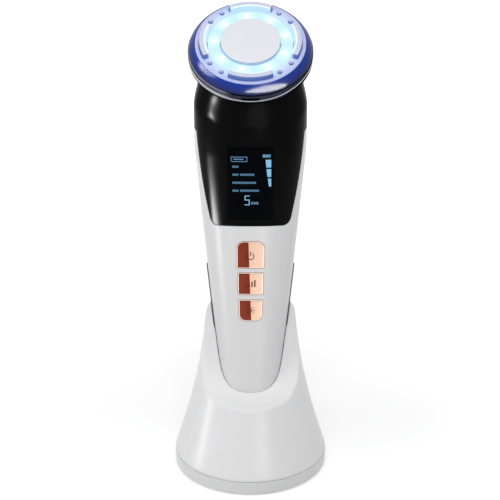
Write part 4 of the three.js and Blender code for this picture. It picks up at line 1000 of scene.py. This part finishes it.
half_seam = SEAM_GAP / 2
shell = cut(handle_form(0), handle_hollow())
neck = copy_of(shell)
neck_region = joined(
    block(-REACH, REACH, -REACH, REACH, NOTCH_HEIGHT + half_seam, 2 * REACH),
    prism(panel_outline(0), -REACH, -half_seam),
)
shared(neck, neck_region)
fan_floor = NOTCH_HEIGHT + half_seam + SHELF_THICKNESS
shelf = shared(
    handle_form(-WALL / 2, HOLLOW_SIDES, 8, 12),
    block(-REACH, REACH, -REACH, REACH, NOTCH_HEIGHT + half_seam, fan_floor),
)
cut(shelf, rod(FAN_BORE_RADIUS, 0, REACH))
joined(neck, shelf)
cut(neck, prism(display_outline(0), -REACH, 0))
for i in range(VENT_COUNT):
    low = VENT_BOTTOM + i * VENT_PITCH
    rounding = VENT_SLOT * SLOT_ROUND
    vent = rounded_box(VENT_WIDTH, low, low + VENT_SLOT, rounding, rounding)
    cut(neck, prism(vent, 0, REACH))
finished(neck, "neck", BLACK, "black_gloss", "neck_shell")

front = shared(
    copy_of(shell), block(-REACH, REACH, -REACH, -half_seam, -REACH, NOTCH_HEIGHT - half_seam)
)
cut(front, prism(panel_outline(SEAM_GAP), -REACH, 0))
for name in BUTTONS:
    cut(front, prism(button_outline(name, -OPENING_GAP), -REACH, -BOARD_FRONT))
for x in (-CONTACT_SPACING / 2, CONTACT_SPACING / 2):
    cut(
        front,
        rod(CONTACT_RADIUS + SEAM_GAP, -1, CONTACT_THICKNESS + SEAM_GAP, x, -CONTACT_FORWARD),
        rod(CONTACT_STEM_RADIUS + SEAM_GAP, -1, 2 * TIP_FLOOR, x, -CONTACT_FORWARD),
    )
rear = shared(shell, block(-REACH, REACH, half_seam, REACH, -REACH, NOTCH_HEIGHT - half_seam))
for side in (-1, 1):
    groove = side_piece(
        "groove", side, lambda inset: strip_outline(inset - SEAM_GAP),
        [(-STRIP_DEPTH - SEAM_GAP, 0), (GROOVE_TOP, 0)],
    )
    combined(front, groove, "DIFFERENCE", keep=True)
    combined(rear, groove, "DIFFERENCE")
finished(front, "front_cover", WHITE, "white_shell", "front_shell")
finished(rear, "rear_cover", WHITE, "white_shell", "rear_shell")

lens = cap_piece(
    "lens", lambda inset: display_outline(inset + SEAM_GAP),
    edge_levels(-LENS_THICKNESS, 0, LENS_EDGE, 2), on_front, pitch=1.5,
)
finished(lens, "display_glass", GLASS, "display_glass", "display_lens")

for side, word in ((-1, "left"), (1, "right")):
    levels = edge_levels(-STRIP_DEPTH, STRIP_PROUD, STRIP_EDGE)
    strip = side_piece("strip", side, strip_outline, levels)
    finished(strip, f"side_strip_{word}_fine", STRIP, "chrome", f"side_strip_{word}")

# Buttons

for name, (bottom, length, width, _, _) in BUTTONS.items():
    lip_front = SEAM_GAP - front_distance(width / 2 + BUTTON_LIP, bottom - BUTTON_LIP, -WALL)
    lip_back = lip_front + BUTTON_LIP_THICKNESS
    button = cap_piece(
        name, lambda inset: button_outline(name, inset),
        edge_levels(-WALL, BUTTON_PROUD, BUTTON_EDGE), on_front,
        back=lambda p: (p[0], lip_back, p[2]),
    )
    lip = prism(button_outline(name, -BUTTON_LIP), lip_front, lip_back)
    stem = rod(BUTTON_STEM_RADIUS, -lip_back, BOARD_FRONT + SWITCH_TIP + STEM_CLEARANCE)
    upright = Matrix.Translation((0, 0, bottom + length / 2))
    stem.data.transform(upright @ Matrix.Rotation(math.pi / 2, 4, "X"))
    merged(button, lip, stem)
    node = f"{name}_button"
    finished(button, f"{name}_key", ROSE_GOLD_PAINTED_REFLECTION, "rose_gold", node, body=node)


# Signs on the buttons and on the screen, as thin plates on the surface


def plate(points, pitch=0.8):
    """The outline of a sign with extra points on its long sides."""
    line = []
    for start, end in zip(points, points[1:] + points[:1]):
        line += divided(start, end, max(1, round(math.dist(start, end) / pitch)))
    return line


def bar(x0, x1, z0, z1):
    return [(x0, z0), (x1, z0), (x1, z1), (x0, z1)]


def bow(radius, thickness, start, end, x, z, steps=20):
    """A stretch of a ring, with its angles in degrees."""
    outer = circle_part(x, z, radius, start, end, steps)
    return outer + circle_part(x, z, radius - thickness, end, start, steps)


def sign_plates(name, outlines, proud, material, body):
    levels = [(proud - SIGN_THICKNESS, 0), (proud, 0)]
    plates = [cap_piece(name, lambda inset: plate(line), levels, on_front) for line in outlines]
    finished(merged(*plates), name, material, None, body=body)


LINE = 0.42
MODE_Z = 99.2
LED_Z = 71.6
mode_signs = [bow(1.9, LINE, 125, 415, 0, MODE_Z), bar(-LINE / 2, LINE / 2, MODE_Z, MODE_Z + 2.3)]
level_signs = [bar(-2.4 + i * 1.4, -1.7 + i * 1.4, 83.6, 84.7 + i * 0.8) for i in range(4)]
led_signs = [bow(1.0, LINE, 0, 359, 0, LED_Z)]
for i in range(8):
    c, s = math.cos(i * math.pi / 4), math.sin(i * math.pi / 4)
    ray = bar(1.45, 2.2, -LINE / 2, LINE / 2)
    led_signs.append([(u * c - v * s, LED_Z + u * s + v * c) for u, v in ray])
for name, signs in (("mode", mode_signs), ("level", level_signs), ("led", led_signs)):
    sign_plates(f"{name}_sign", signs, BUTTON_PROUD + SIGN_PROUD, SIGN, f"{name}_button")


def dashes(x0, x1, z0, z1, pitch=0.78, width=0.5):
    """Short marks in a row."""
    count = round((x1 - x0 + pitch - width) / pitch)
    return [bar(x0 + i * pitch, x0 + i * pitch + width, z0, z1) for i in range(count)]


# A device sign, four rows of marks, the place of a unit and the frame of a battery
list_signs = [
    bar(-9.6, -1.6, 148.3, 148.6), bar(-9.2, -1.6, 146.1, 146.4),
    bar(-9.6, -9.3, 146.4, 148.3), bar(-1.9, -1.6, 146.4, 148.3),
    bar(-8.4, -3.4, 147.1, 147.6),
    *dashes(-8.8, -5.6, 143.2, 144.2),
    *dashes(-8.8, -6.2, 139.3, 140.3), *dashes(-5.0, 1.8, 139.3, 140.3),
    *dashes(-8.8, 2.8, 135.3, 136.3),
    *dashes(-8.8, -6.2, 131.4, 132.4), *dashes(-5.0, 3.8, 131.4, 132.4),
    *dashes(0.3, 4.1, 125.1, 126.3, 1.3, 0.9),
    bar(5.9, 9.6, 149.4, 149.7), bar(5.9, 9.6, 148.2, 148.5),
    bar(5.9, 6.15, 148.5, 149.4), bar(9.4, 9.9, 148.5, 149.4),
]
# A plain 5, the battery's level and a wedge of three steps
bright_signs = [
    bar(-2.9, -0.4, 129.1, 129.5), bar(-2.9, -2.45, 127.5, 129.1), bar(-2.9, -0.4, 127.1, 127.5),
    bar(-0.85, -0.4, 125.1, 127.1), bar(-2.9, -0.4, 124.7, 125.1),
    bar(6.3, 7.1, 148.6, 149.3), bar(7.5, 8.3, 148.6, 149.3), bar(8.7, 9.2, 148.6, 149.3),
    [(7.75, 143.3), (10.1, 143.3), (10.1, 147.1), (7.35, 147.1)],
    [(8.3, 138.6), (10.1, 138.6), (10.1, 142.5), (7.8, 142.5)],
    [(9.0, 133.9), (10.1, 133.9), (10.1, 137.8), (8.5, 137.8)],
]
sign_plates("screen_list", list_signs, SCREEN_SIGN_PROUD, SCREEN_DIM, "handle")
sign_plates("screen_signs", bright_signs, SCREEN_SIGN_PROUD, SCREEN_BLUE, "handle")

# Head

ledge = FACE_RADIUS - LEDGE_WIDTH
light_corners = [
    (ledge, -LIGHT_RING_DEPTH, 0),
    (ledge, -FACE_THICKNESS - SEAM_GAP, 0),
    (FACE_RADIUS, -FACE_THICKNESS - SEAM_GAP, 0),
]
for k in (*range(LIGHT_RING_STEPS - 3), LIGHT_RING_STEPS):  # the last edge needs room to be round
    share = k / LIGHT_RING_STEPS
    radius = FACE_RADIUS + (LIGHT_RING_RADIUS - FACE_RADIUS) * share
    radius += LIGHT_RING_BULGE * math.sin(math.pi * share)
    light_corners.append((radius, -LIGHT_RING_DEPTH * share, LIGHT_RING_EDGE if share == 1 else 0))
ring = turned("light_ring", softened(light_corners), 2 * TURNED_SIDES)
finished(ring, "light_ring", BLUE_PAINTED_SHADE, "blue_clear", "light_ring", pose=HEAD_POSE)

ring_top = -LIGHT_RING_DEPTH - SEAM_GAP
ring_inside = METAL_RING_RADIUS - METAL_RING_WALL
flange_top = -METAL_RING_FOOT + METAL_RING_FLANGE
metal_corners = [
    (METAL_RING_RADIUS, ring_top, METAL_RING_TOP_EDGE),
    (METAL_RING_RADIUS, -METAL_RING_FOOT, METAL_RING_FOOT_EDGE),
    (METAL_RING_BORE, -METAL_RING_FOOT, 0),
    (METAL_RING_BORE, flange_top, 0),
    (ring_inside, flange_top, 0),
    (ring_inside, ring_top, 0),
]
metal = turned("metal_ring", softened(metal_corners))
dimple_top = ring_top - DIMPLE_SPACE
rounding = DIMPLE_LENGTH * SLOT_ROUND
dimple = rounded_box(DIMPLE_WIDTH, dimple_top - DIMPLE_LENGTH, dimple_top, rounding, rounding)
cut(metal, prism(dimple, -REACH, -METAL_RING_RADIUS + DIMPLE_DEPTH))
finished(metal, "metal_ring", CHROME_PAINTED_HIGHLIGHTS, "chrome", "metal_ring", pose=HEAD_POSE)
metal.data.materials.append(DIMPLE)
for polygon in metal.data.polygons:
    x, y, z = polygon.center / MM
    if (
        METAL_RING_RADIUS - DIMPLE_DEPTH - 1 < math.hypot(x, y) < METAL_RING_RADIUS - TOUCH
        and abs(x) < DIMPLE_WIDTH / 2 + TOUCH and y < 0
        and dimple_top - DIMPLE_LENGTH - TOUCH < z < dimple_top + TOUCH
    ):
        polygon.material_index = 1

cooling_foot = COOLING_PROUD - COOLING_THICKNESS
cooling_edge = COOLING_RADIUS - COOLING_EDGE, COOLING_PROUD - COOLING_EDGE, COOLING_EDGE
cooling_profile = [
    (0, cooling_foot),
    (COOLING_RADIUS, cooling_foot),
    *circle_part(*cooling_edge, 0, 90, 6),
    (0, COOLING_PROUD),
]
cooling = turned("cooling_plate", cooling_profile)
finished(cooling, "cooling_plate", COOLING, "cooling_metal", "cooling_plate", pose=HEAD_POSE)


def face_ring(name, inner, outer, inner_round, outer_round):
    """A flat ring in the head's face."""
    foot = -FACE_THICKNESS
    corners = [(inner, 0, inner_round), (inner, foot, 0), (outer, foot, 0), (outer, 0, outer_round)]
    return turned(name, softened(corners))


window = face_ring("light_window", COOLING_RADIUS + SEAM_GAP, WINDOW_RADIUS, 0.2, 0.2)
finished(window, "light_window", WINDOW, "light_clear", "led_window", pose=HEAD_POSE)
face = face_ring("face plate", WINDOW_RADIUS + SEAM_GAP, FACE_RADIUS - SEAM_GAP, 0.15, 0.25)


def arc_outline(middle, inset):
    """The (x, y) outline of an arc electrode with softly rounded corners."""
    radius = (ARC_INNER_RADIUS + ARC_OUTER_RADIUS) / 2
    width = ARC_OUTER_RADIUS - ARC_INNER_RADIUS
    length = 2 * ARC_HALF_ANGLE * radius
    flat = rounded_box(length, -width / 2, width / 2, 0.5, 0.5, inset, pitch=0.8, steps=4)
    bent = [(radius + v, middle - u / radius) for u, v in flat]
    return [(out * math.cos(angle), out * math.sin(angle)) for out, angle in bent]


for quarter, word in enumerate(("right", "top", "left", "bottom")):
    turn = quarter * math.pi / 2
    arc = cap_piece(
        "arc", lambda inset: arc_outline(turn, inset),
        edge_levels(-ELECTRODE_DEPTH, ARC_PROUD, ARC_EDGE), lambda *place: place,
    )
    node = f"arc_electrode_{word}"
    finished(arc, f"arc_{word}", ELECTRODE, "electrode_metal", node, pose=HEAD_POSE)
    cut(face, prism(arc_outline(turn, -SEAM_GAP), -REACH, REACH, up=True))

probe_profile = [
    (0, -ELECTRODE_DEPTH),
    (PROBE_RADIUS, -ELECTRODE_DEPTH),
    *((x, PROBE_PROUD + (y - PROBE_RADIUS) * PROBE_FLATNESS)
      for x, y in circle_part(0, 0, PROBE_RADIUS, 0, 90, 8)[:-1]),
    (0, PROBE_PROUD),
]
probe_places = [
    (side * PROBE_CIRCLE_RADIUS * math.cos(angle), up * PROBE_CIRCLE_RADIUS * math.sin(angle))
    for side, up in ((1, 1), (-1, 1), (-1, -1), (1, -1))
    for angle in PROBE_ANGLES
]
for number, (x, y) in enumerate(probe_places, 1):
    probe = turned("probe", probe_profile, 24)
    probe.data.transform(Matrix.Translation((x, y, 0)))
    node = f"probe_{number}"
    finished(probe, f"pin_{number}", PROBE, "electrode_metal", node, pose=HEAD_POSE)
    cut(face, rod(PROBE_RADIUS + SEAM_GAP, -REACH, REACH, x, y, 24))
finished(face, "face_plate", LILAC, "lilac_clear", "face_plate", pose=HEAD_POSE)


# Dock


def catmull_rom(points, steps):
    """A smooth line through points, with its ends held."""
    held = np.array([points[0], *points, points[-1]], float)
    line = [
        hermite(p1, (p2 - p0) / 2, p2, (p3 - p1) / 2, k / steps)
        for p0, p1, p2, p3 in zip(held, held[1:], held[2:], held[3:])
        for k in range(steps)
    ]
    return np.array([*line, held[-1]])


dish_line = catmull_rom(DISH_CURVE, 60)
dish_slope = np.gradient(dish_line[:, 1], dish_line[:, 0])


def round_max(a, b, radius):
    """The region inside both a and b, with a rounded edge between them."""
    u = np.maximum(a + radius, 0)
    v = np.maximum(b + radius, 0)
    return np.sqrt(u * u + v * v) - radius + np.minimum(np.maximum(a, b) + radius, 0)


def dock_radius(z):
    share = np.clip((z - BAND_HEIGHT) / (DOCK_HEIGHT - BAND_HEIGHT), 0, 1)
    soft = share * share / (share + DOCK_FLARE_START)
    return DOCK_TOP_RADIUS + (DOCK_RADIUS - DOCK_TOP_RADIUS) * np.maximum(1 - soft, 0) ** DOCK_FLARE


def dock_distance(p):
    """About how far points are outside the dock's solid form, negative within it."""
    x, y, z = p[..., 0], p[..., 1], p[..., 2]
    share = np.clip((z - BAND_HEIGHT) / (DOCK_HEIGHT - BAND_HEIGHT), 0, 1)
    slope = (dock_radius(z + 0.2) - dock_radius(z - 0.2)) / 0.4
    cone = np.hypot(x, y - DOCK_TOP_SHIFT * share**2) - dock_radius(z)
    cone = cone / np.sqrt(1 + slope * slope)
    top = z - DOCK_HEIGHT
    dish = z - np.interp(y, dish_line[:, 0], dish_line[:, 1])
    dish = dish / np.sqrt(1 + np.interp(y, dish_line[:, 0], dish_slope) ** 2)
    return round_max(round_max(cone, top, DOCK_TOP_ROUND), dish, DOCK_RIM_ROUND)


def well_distance(p):
    """About how far points are outside the well for the handle, negative within it."""
    across = p - np.array(HANDLE_TIP, float)
    c, s = math.cos(HANDLE_LEAN), math.sin(HANDLE_LEAN)
    x = across[..., 0]
    y = across[..., 1] * c - across[..., 2] * s
    z = across[..., 1] * s + across[..., 2] * c
    at = np.clip(z, 0, CHEST_HEIGHT)
    half = smooth_through(HALF_WIDTHS, at) + WELL_CLEARANCE
    depth = depth_at(y, at) + WELL_CLEARANCE
    n = BODY_SQUARENESS
    u, v = np.abs(x) / half + 1e-6, np.abs(y) / depth + 1e-6
    level = (u**n + v**n) ** (1 / n)
    steep = level ** (1 - n) * np.hypot(u ** (n - 1) / half, v ** (n - 1) / depth)
    return round_max((level - 1) / steep, -END_CLEARANCE - z, WELL_FLOOR_ROUND)


def dock_shell_distance(p):
    solid = round_max(dock_distance(p), -well_distance(p), WELL_RIM_ROUND)
    closed = round_max(solid, shell_bottom - p[..., 2], DOCK_EDGE)
    return np.maximum(closed, -solid - DOCK_WALL)


def implicit_piece(name, distance, low, high, step):
    """The surface where distance is zero, as quads with their points moved onto it."""
    axes = [np.arange(a, b + step, step) for a, b in zip(low, high)]
    grid = np.stack(np.meshgrid(*axes, indexing="ij"), axis=-1)
    values = distance(grid)
    inside = values < 0
    shape = np.array(inside.shape)
    cells = tuple(shape - 1)

    def corner(data, i, j, k):
        return data[i : i + cells[0], j : j + cells[1], k : k + cells[2]]

    bits = [(i, j, k) for i in (0, 1) for j in (0, 1) for k in (0, 1)]
    count = sum(corner(inside, *bit).astype(int) for bit in bits)
    active = (count > 0) & (count < 8)
    index = np.full(cells, -1)
    index[active] = np.arange(active.sum())
    total = np.zeros((*cells, 3))
    hits = np.zeros(cells)
    for a in bits:
        for axis in range(3):
            if a[axis]:
                continue
            b = tuple(v + (1 if n == axis else 0) for n, v in enumerate(a))
            first, last = corner(values, *a), corner(values, *b)
            crossing = (first < 0) != (last < 0)
            share = np.where(crossing, first / np.where(crossing, first - last, 1), 0)
            spot = np.array(a, float) + share[..., None] * (np.array(b) - np.array(a))
            total += np.where(crossing[..., None], spot, 0)
            hits += crossing
    where = np.argwhere(active)
    points = np.array(low) + step * (where + total[active] / hits[active][:, None])
    for _ in range(6):
        value = distance(points)
        rises = [distance(points + n) - distance(points - n) for n in np.eye(3) * NUDGE]
        slope = np.stack(rises, axis=-1) / (2 * NUDGE)
        move = -value[:, None] * slope / np.maximum((slope**2).sum(axis=1), 0.1)[:, None]
        points = points + np.clip(move, -step / 2, step / 2)
    faces = []
    for a in range(3):
        b, c = (a + 1) % 3, (a + 2) % 3
        first = np.take(inside, range(shape[a] - 1), axis=a)
        last = np.take(inside, range(1, shape[a]), axis=a)
        spots = np.argwhere(first != last)
        spots = spots[
            (spots[:, b] > 0) & (spots[:, c] > 0)
            & (spots[:, b] < shape[b] - 1) & (spots[:, c] < shape[c] - 1)
        ]
        around = []
        for back_b, back_c in ((0, 0), (1, 0), (1, 1), (0, 1)):
            spot = spots.copy()
            spot[:, b] -= back_b
            spot[:, c] -= back_c
            around.append(index[tuple(spot.T)])
        quads = np.stack(around, axis=1)
        outward = first[tuple(spots.T)]
        faces.append(np.where(outward[:, None], quads, quads[:, ::-1]))
    return mesh_piece(name, points.tolist(), np.concatenate(faces).tolist())


shell_bottom = BAND_HEIGHT + BAND_GAP / 2
dock_shell = implicit_piece(
    "dock shell", dock_shell_distance,
    (-DOCK_RADIUS - 2, -DOCK_RADIUS - 2, 3.3), (DOCK_RADIUS + 2, DOCK_RADIUS + 2, DOCK_HEIGHT + 2),
    GRID_STEP,
)
for side in (-1, 1):
    channel = side_piece(
        "channel", side, lambda inset: strip_outline(inset - STRIP_CLEARANCE),
        [(-STRIP_DEPTH, 0), (STRIP_PROUD + STRIP_CLEARANCE, 0)],
    )
    channel.data.transform(HANDLE_POSE)
    cut(dock_shell, channel)
recess_top = PAD_THICKNESS + SEAM_GAP
tray_floor_top = recess_top + TRAY_FLOOR
screw_top = recess_top + SEAM_GAP + SCREW_HEAD_HEIGHT + SCREW_LENGTH
boss_bottom = tray_floor_top + SEAM_GAP
screw_places = [
    (SCREW_CIRCLE_RADIUS * math.cos(angle), SCREW_CIRCLE_RADIUS * math.sin(angle))
    for angle in map(math.radians, SCREW_ANGLES)
]
for x, y in screw_places:
    joined(dock_shell, rod(BOSS_RADIUS, boss_bottom, boss_bottom + BOSS_HEIGHT, x, y))
    cut(dock_shell, rod(SCREW_RADIUS + SEAM_GAP, boss_bottom - 1, screw_top + SEAM_GAP, x, y))
rounding = INLET_THICKNESS / 2
inlet_hole = rounded_box(
    INLET_WIDTH + 2 * SEAM_GAP, INLET_HEIGHT - rounding - SEAM_GAP,
    INLET_HEIGHT + rounding + SEAM_GAP, rounding, rounding,
)
cut(dock_shell, prism(inlet_hole, DOCK_RADIUS - 8, REACH))
for x in (-CONTACT_SPACING / 2, CONTACT_SPACING / 2):
    low, high = -END_CLEARANCE - 3 * DOCK_WALL, -END_CLEARANCE + DOCK_WALL
    hole = rod(PIN_RADIUS + SEAM_GAP, low, high, x, -CONTACT_FORWARD)
    hole.data.transform(HANDLE_POSE)
    cut(dock_shell, hole)
finished(
    dock_shell, "dock_cover", DOCK_WHITE, "dock_white", "dock_shell", body="dock", pose=DOCK_POSE
)

tray_inside = DOCK_RADIUS - DOCK_WALL
tray_top = BAND_HEIGHT - BAND_GAP / 2
tray_corners = [
    (PAD_RADIUS + SEAM_GAP, recess_top, 0),
    (PAD_RADIUS + SEAM_GAP, PAD_STANDING, 0),
    (DOCK_RADIUS, PAD_STANDING, BASE_CHAMFER),
    (DOCK_RADIUS, tray_top - SEAM_CHAMFER, 0),
    (DOCK_RADIUS - SEAM_CHAMFER, tray_top, 0),
    (tray_inside, tray_top, 0),
    (tray_inside, tray_floor_top, 0),
]
tray = turned("tray", [(0, recess_top), *softened(tray_corners), (0, tray_floor_top)])
for x in (-INLET_POST_X, INLET_POST_X):
    joined(tray, rod(POST_RADIUS, tray_floor_top - 0.5, INLET_POST_TOP, x, INLET_POST_Y))
for x, y in screw_places:
    cut(
        tray,
        rod(SCREW_RADIUS + SEAM_GAP, 0, REACH, x, y),
        rod(SCREW_HEAD_RADIUS + SEAM_GAP, 0, recess_top + 2 * SEAM_GAP + SCREW_HEAD_HEIGHT, x, y),
    )
finished(tray, "dock_tray", TRAY_WHITE_PAINTED_SHADE, "dock_white", "dock_base", body="dock", pose=DOCK_POSE)

# Inner pieces keep the CAD model's shapes

INNER = (
    (RUBBER, "base_pad"),
    (STEEL, "ballast_plate dock_screw_1 dock_screw_2 dock_screw_3 power_inlet"),
    (BOARD, "charge_board inlet_board main_board led_board"),
    (GOLD, "charge_pin_left charge_pin_right charge_contact_left charge_contact_right"),
    (DARK, "display_module mode_switch level_switch led_switch fan_frame fan_rotor"),
    (WRAP, "battery"),
    (CERAMIC, "peltier_cooler"),
    (SINK, "heat_sink"),
)
for material, names in INNER:
    for name in names.split():
        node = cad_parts[name]
        node.data.materials.clear()
        node.data.materials.append(material)

# Floor, backdrop colour and lights


def pale_floor(graph):
    """A floor that keeps its shadow and runs into the white behind it."""
    away = graph.new("VectorMath", graph.place()[0], operation="LENGTH").outputs["Value"]
    lift = graph.range(away, 0.1, 0.6, FLOOR_LIFT, 1)
    base = graph.ramp(graph.noise(3, 2), [(0, (0.8, 0.8, 0.8)), (1, (0.82, 0.82, 0.82))])
    return {
        "Base Color": base,
        "Roughness": 0.9,
        "Specular IOR Level": 0.1,
        "Emission Color": (1, 1, 1),
        "Emission Strength": graph.times(graph.seen_directly(), lift),
    }


bpy.ops.mesh.primitive_plane_add(size=8)
floor = bpy.context.object
floor.name = "floor"
floor.data.materials.append(material_of("floor", pale_floor))

world = bpy.data.worlds.new("studio")
bpy.context.scene.world = world
world.use_nodes = True
graph = Graph(world.node_tree)
background = world.node_tree.nodes["Background"]
graph.feed(background.inputs["Color"], graph.mix(graph.seen_directly(), WORLD_FILL, (1, 1, 1)))
background.inputs["Strength"].default_value = 1


def facing(place, target):
    """The rotation that turns a light or a camera at a place to a target."""
    return (Vector(target) - Vector(place)).to_track_quat("-Z", "Y").to_euler()


def softbox(name, place, target, width, height, watts, colour=(1, 1, 1), diffuse=True, glossy=True):
    """A rectangular light at place, in metres, turned to target."""
    data = bpy.data.lights.new(name, "AREA")
    data.shape = "RECTANGLE"
    data.size = width
    data.size_y = height
    data.energy = watts
    data.color = colour
    light = placed(name, data)
    light.location = place
    light.rotation_euler = facing(place, target)
    light.visible_camera = False
    light.visible_diffuse = diffuse
    light.visible_glossy = glossy
    return light


def highlight(
    name, seen_from, azimuth, elevation, distance, size, radiance, receiver, colour=(1, 1, 1)
):
    """An oval light that shows only as a reflection, and only on the receiver."""
    turn, rise = math.radians(azimuth), math.radians(elevation)
    flat = math.cos(rise)
    way = Vector((math.sin(turn) * flat, -math.cos(turn) * flat, math.sin(rise)))
    light = softbox(
        name, Vector(seen_from) + distance * way, seen_from, *size,
        radiance * math.pi**2 / 4 * size[0] * size[1], colour, diffuse=False,
    )
    light.data.shape = "ELLIPSE"
    group = bpy.data.collections.new(name)
    group.objects.link(receiver)
    light.light_linking.receiver_collection = group


MIDDLE = (0, 0, 0.12)
softbox("top", (0, -0.2, 1.2), MIDDLE, 1.0, 0.8, 4, glossy=False)
softbox("front", (0, -0.38, 0.45), MIDDLE, 0.25, 0.25, 0.6, glossy=False)
softbox("left", (-0.8, -0.35, 0.3), MIDDLE, 0.4, 0.8, 2.5, glossy=False)
softbox("right", (0.8, -0.4, 0.5), MIDDLE, 0.4, 0.6, 1.1, glossy=False)
PANEL_PLACE = (-0.018, 0.004, 0.14)
NECK_PLACE = (-0.018, 0.011, 0.19)
NECK_TOP = (-0.0176, 0.0158, 0.1906)
HEAD_PLACE = (0, 0.01, 0.2)
RING_PLACE = (-0.022, 0.0135, 0.206)
SHELL_PLACE = (-0.016, -0.001, 0.123)
DOCK_PLACE = (-0.024, -0.022, 0.028)
highlight("low streak", PANEL_PLACE, -69, -15.5, 0.5, (0.23, 0.095), 235, neck)
highlight("high streak", NECK_TOP, -62, 21, 0.07, (0.014, 0.014), 160, neck)
highlight("high glow", NECK_PLACE, -58, 25, 0.8, (0.13, 0.4), 15, neck)
highlight("neck front", NECK_PLACE, 12, 34, 0.8, (0.3, 0.7), 2, neck)
highlight("shell side", SHELL_PLACE, -66, -12, 0.5, (0.06, 0.12), 22, front)
highlight("shell front", SHELL_PLACE, 17, -3, 0.6, (0.1, 0.2), 5, front)
highlight("dock side", DOCK_PLACE, -83, -6, 0.6, (0.11, 0.16), 44, dock_shell)
highlight("dock front", DOCK_PLACE, 22, 4, 0.6, (0.2, 0.2), 3, dock_shell)
highlight("ring side", RING_PLACE, -79, 18.5, 0.8, (0.3, 0.126), 26, ring)
highlight("ring glow", RING_PLACE, -74, 15, 0.8, (0.56, 0.22), 20, ring)
highlight("ring front", HEAD_PLACE, 28, -21, 0.5, (0.66, 0.46), 50, ring, (1, 0.96, 0.77))

CAMERA_LENS = 111.8
CAMERA_PLACE = (-0.00025, -0.7123, 0.4128)
CAMERA_AIM = (-0.00025, 0, 0.11774)
camera_data = bpy.data.cameras.new("camera")
camera_data.lens = CAMERA_LENS
camera_data.sensor_width = 36
camera = placed("camera", camera_data)
camera.location = CAMERA_PLACE
camera.rotation_euler = facing(CAMERA_PLACE, CAMERA_AIM)
bpy.context.scene.camera = camera

bpy.context.scene.view_settings.view_transform = "Standard"
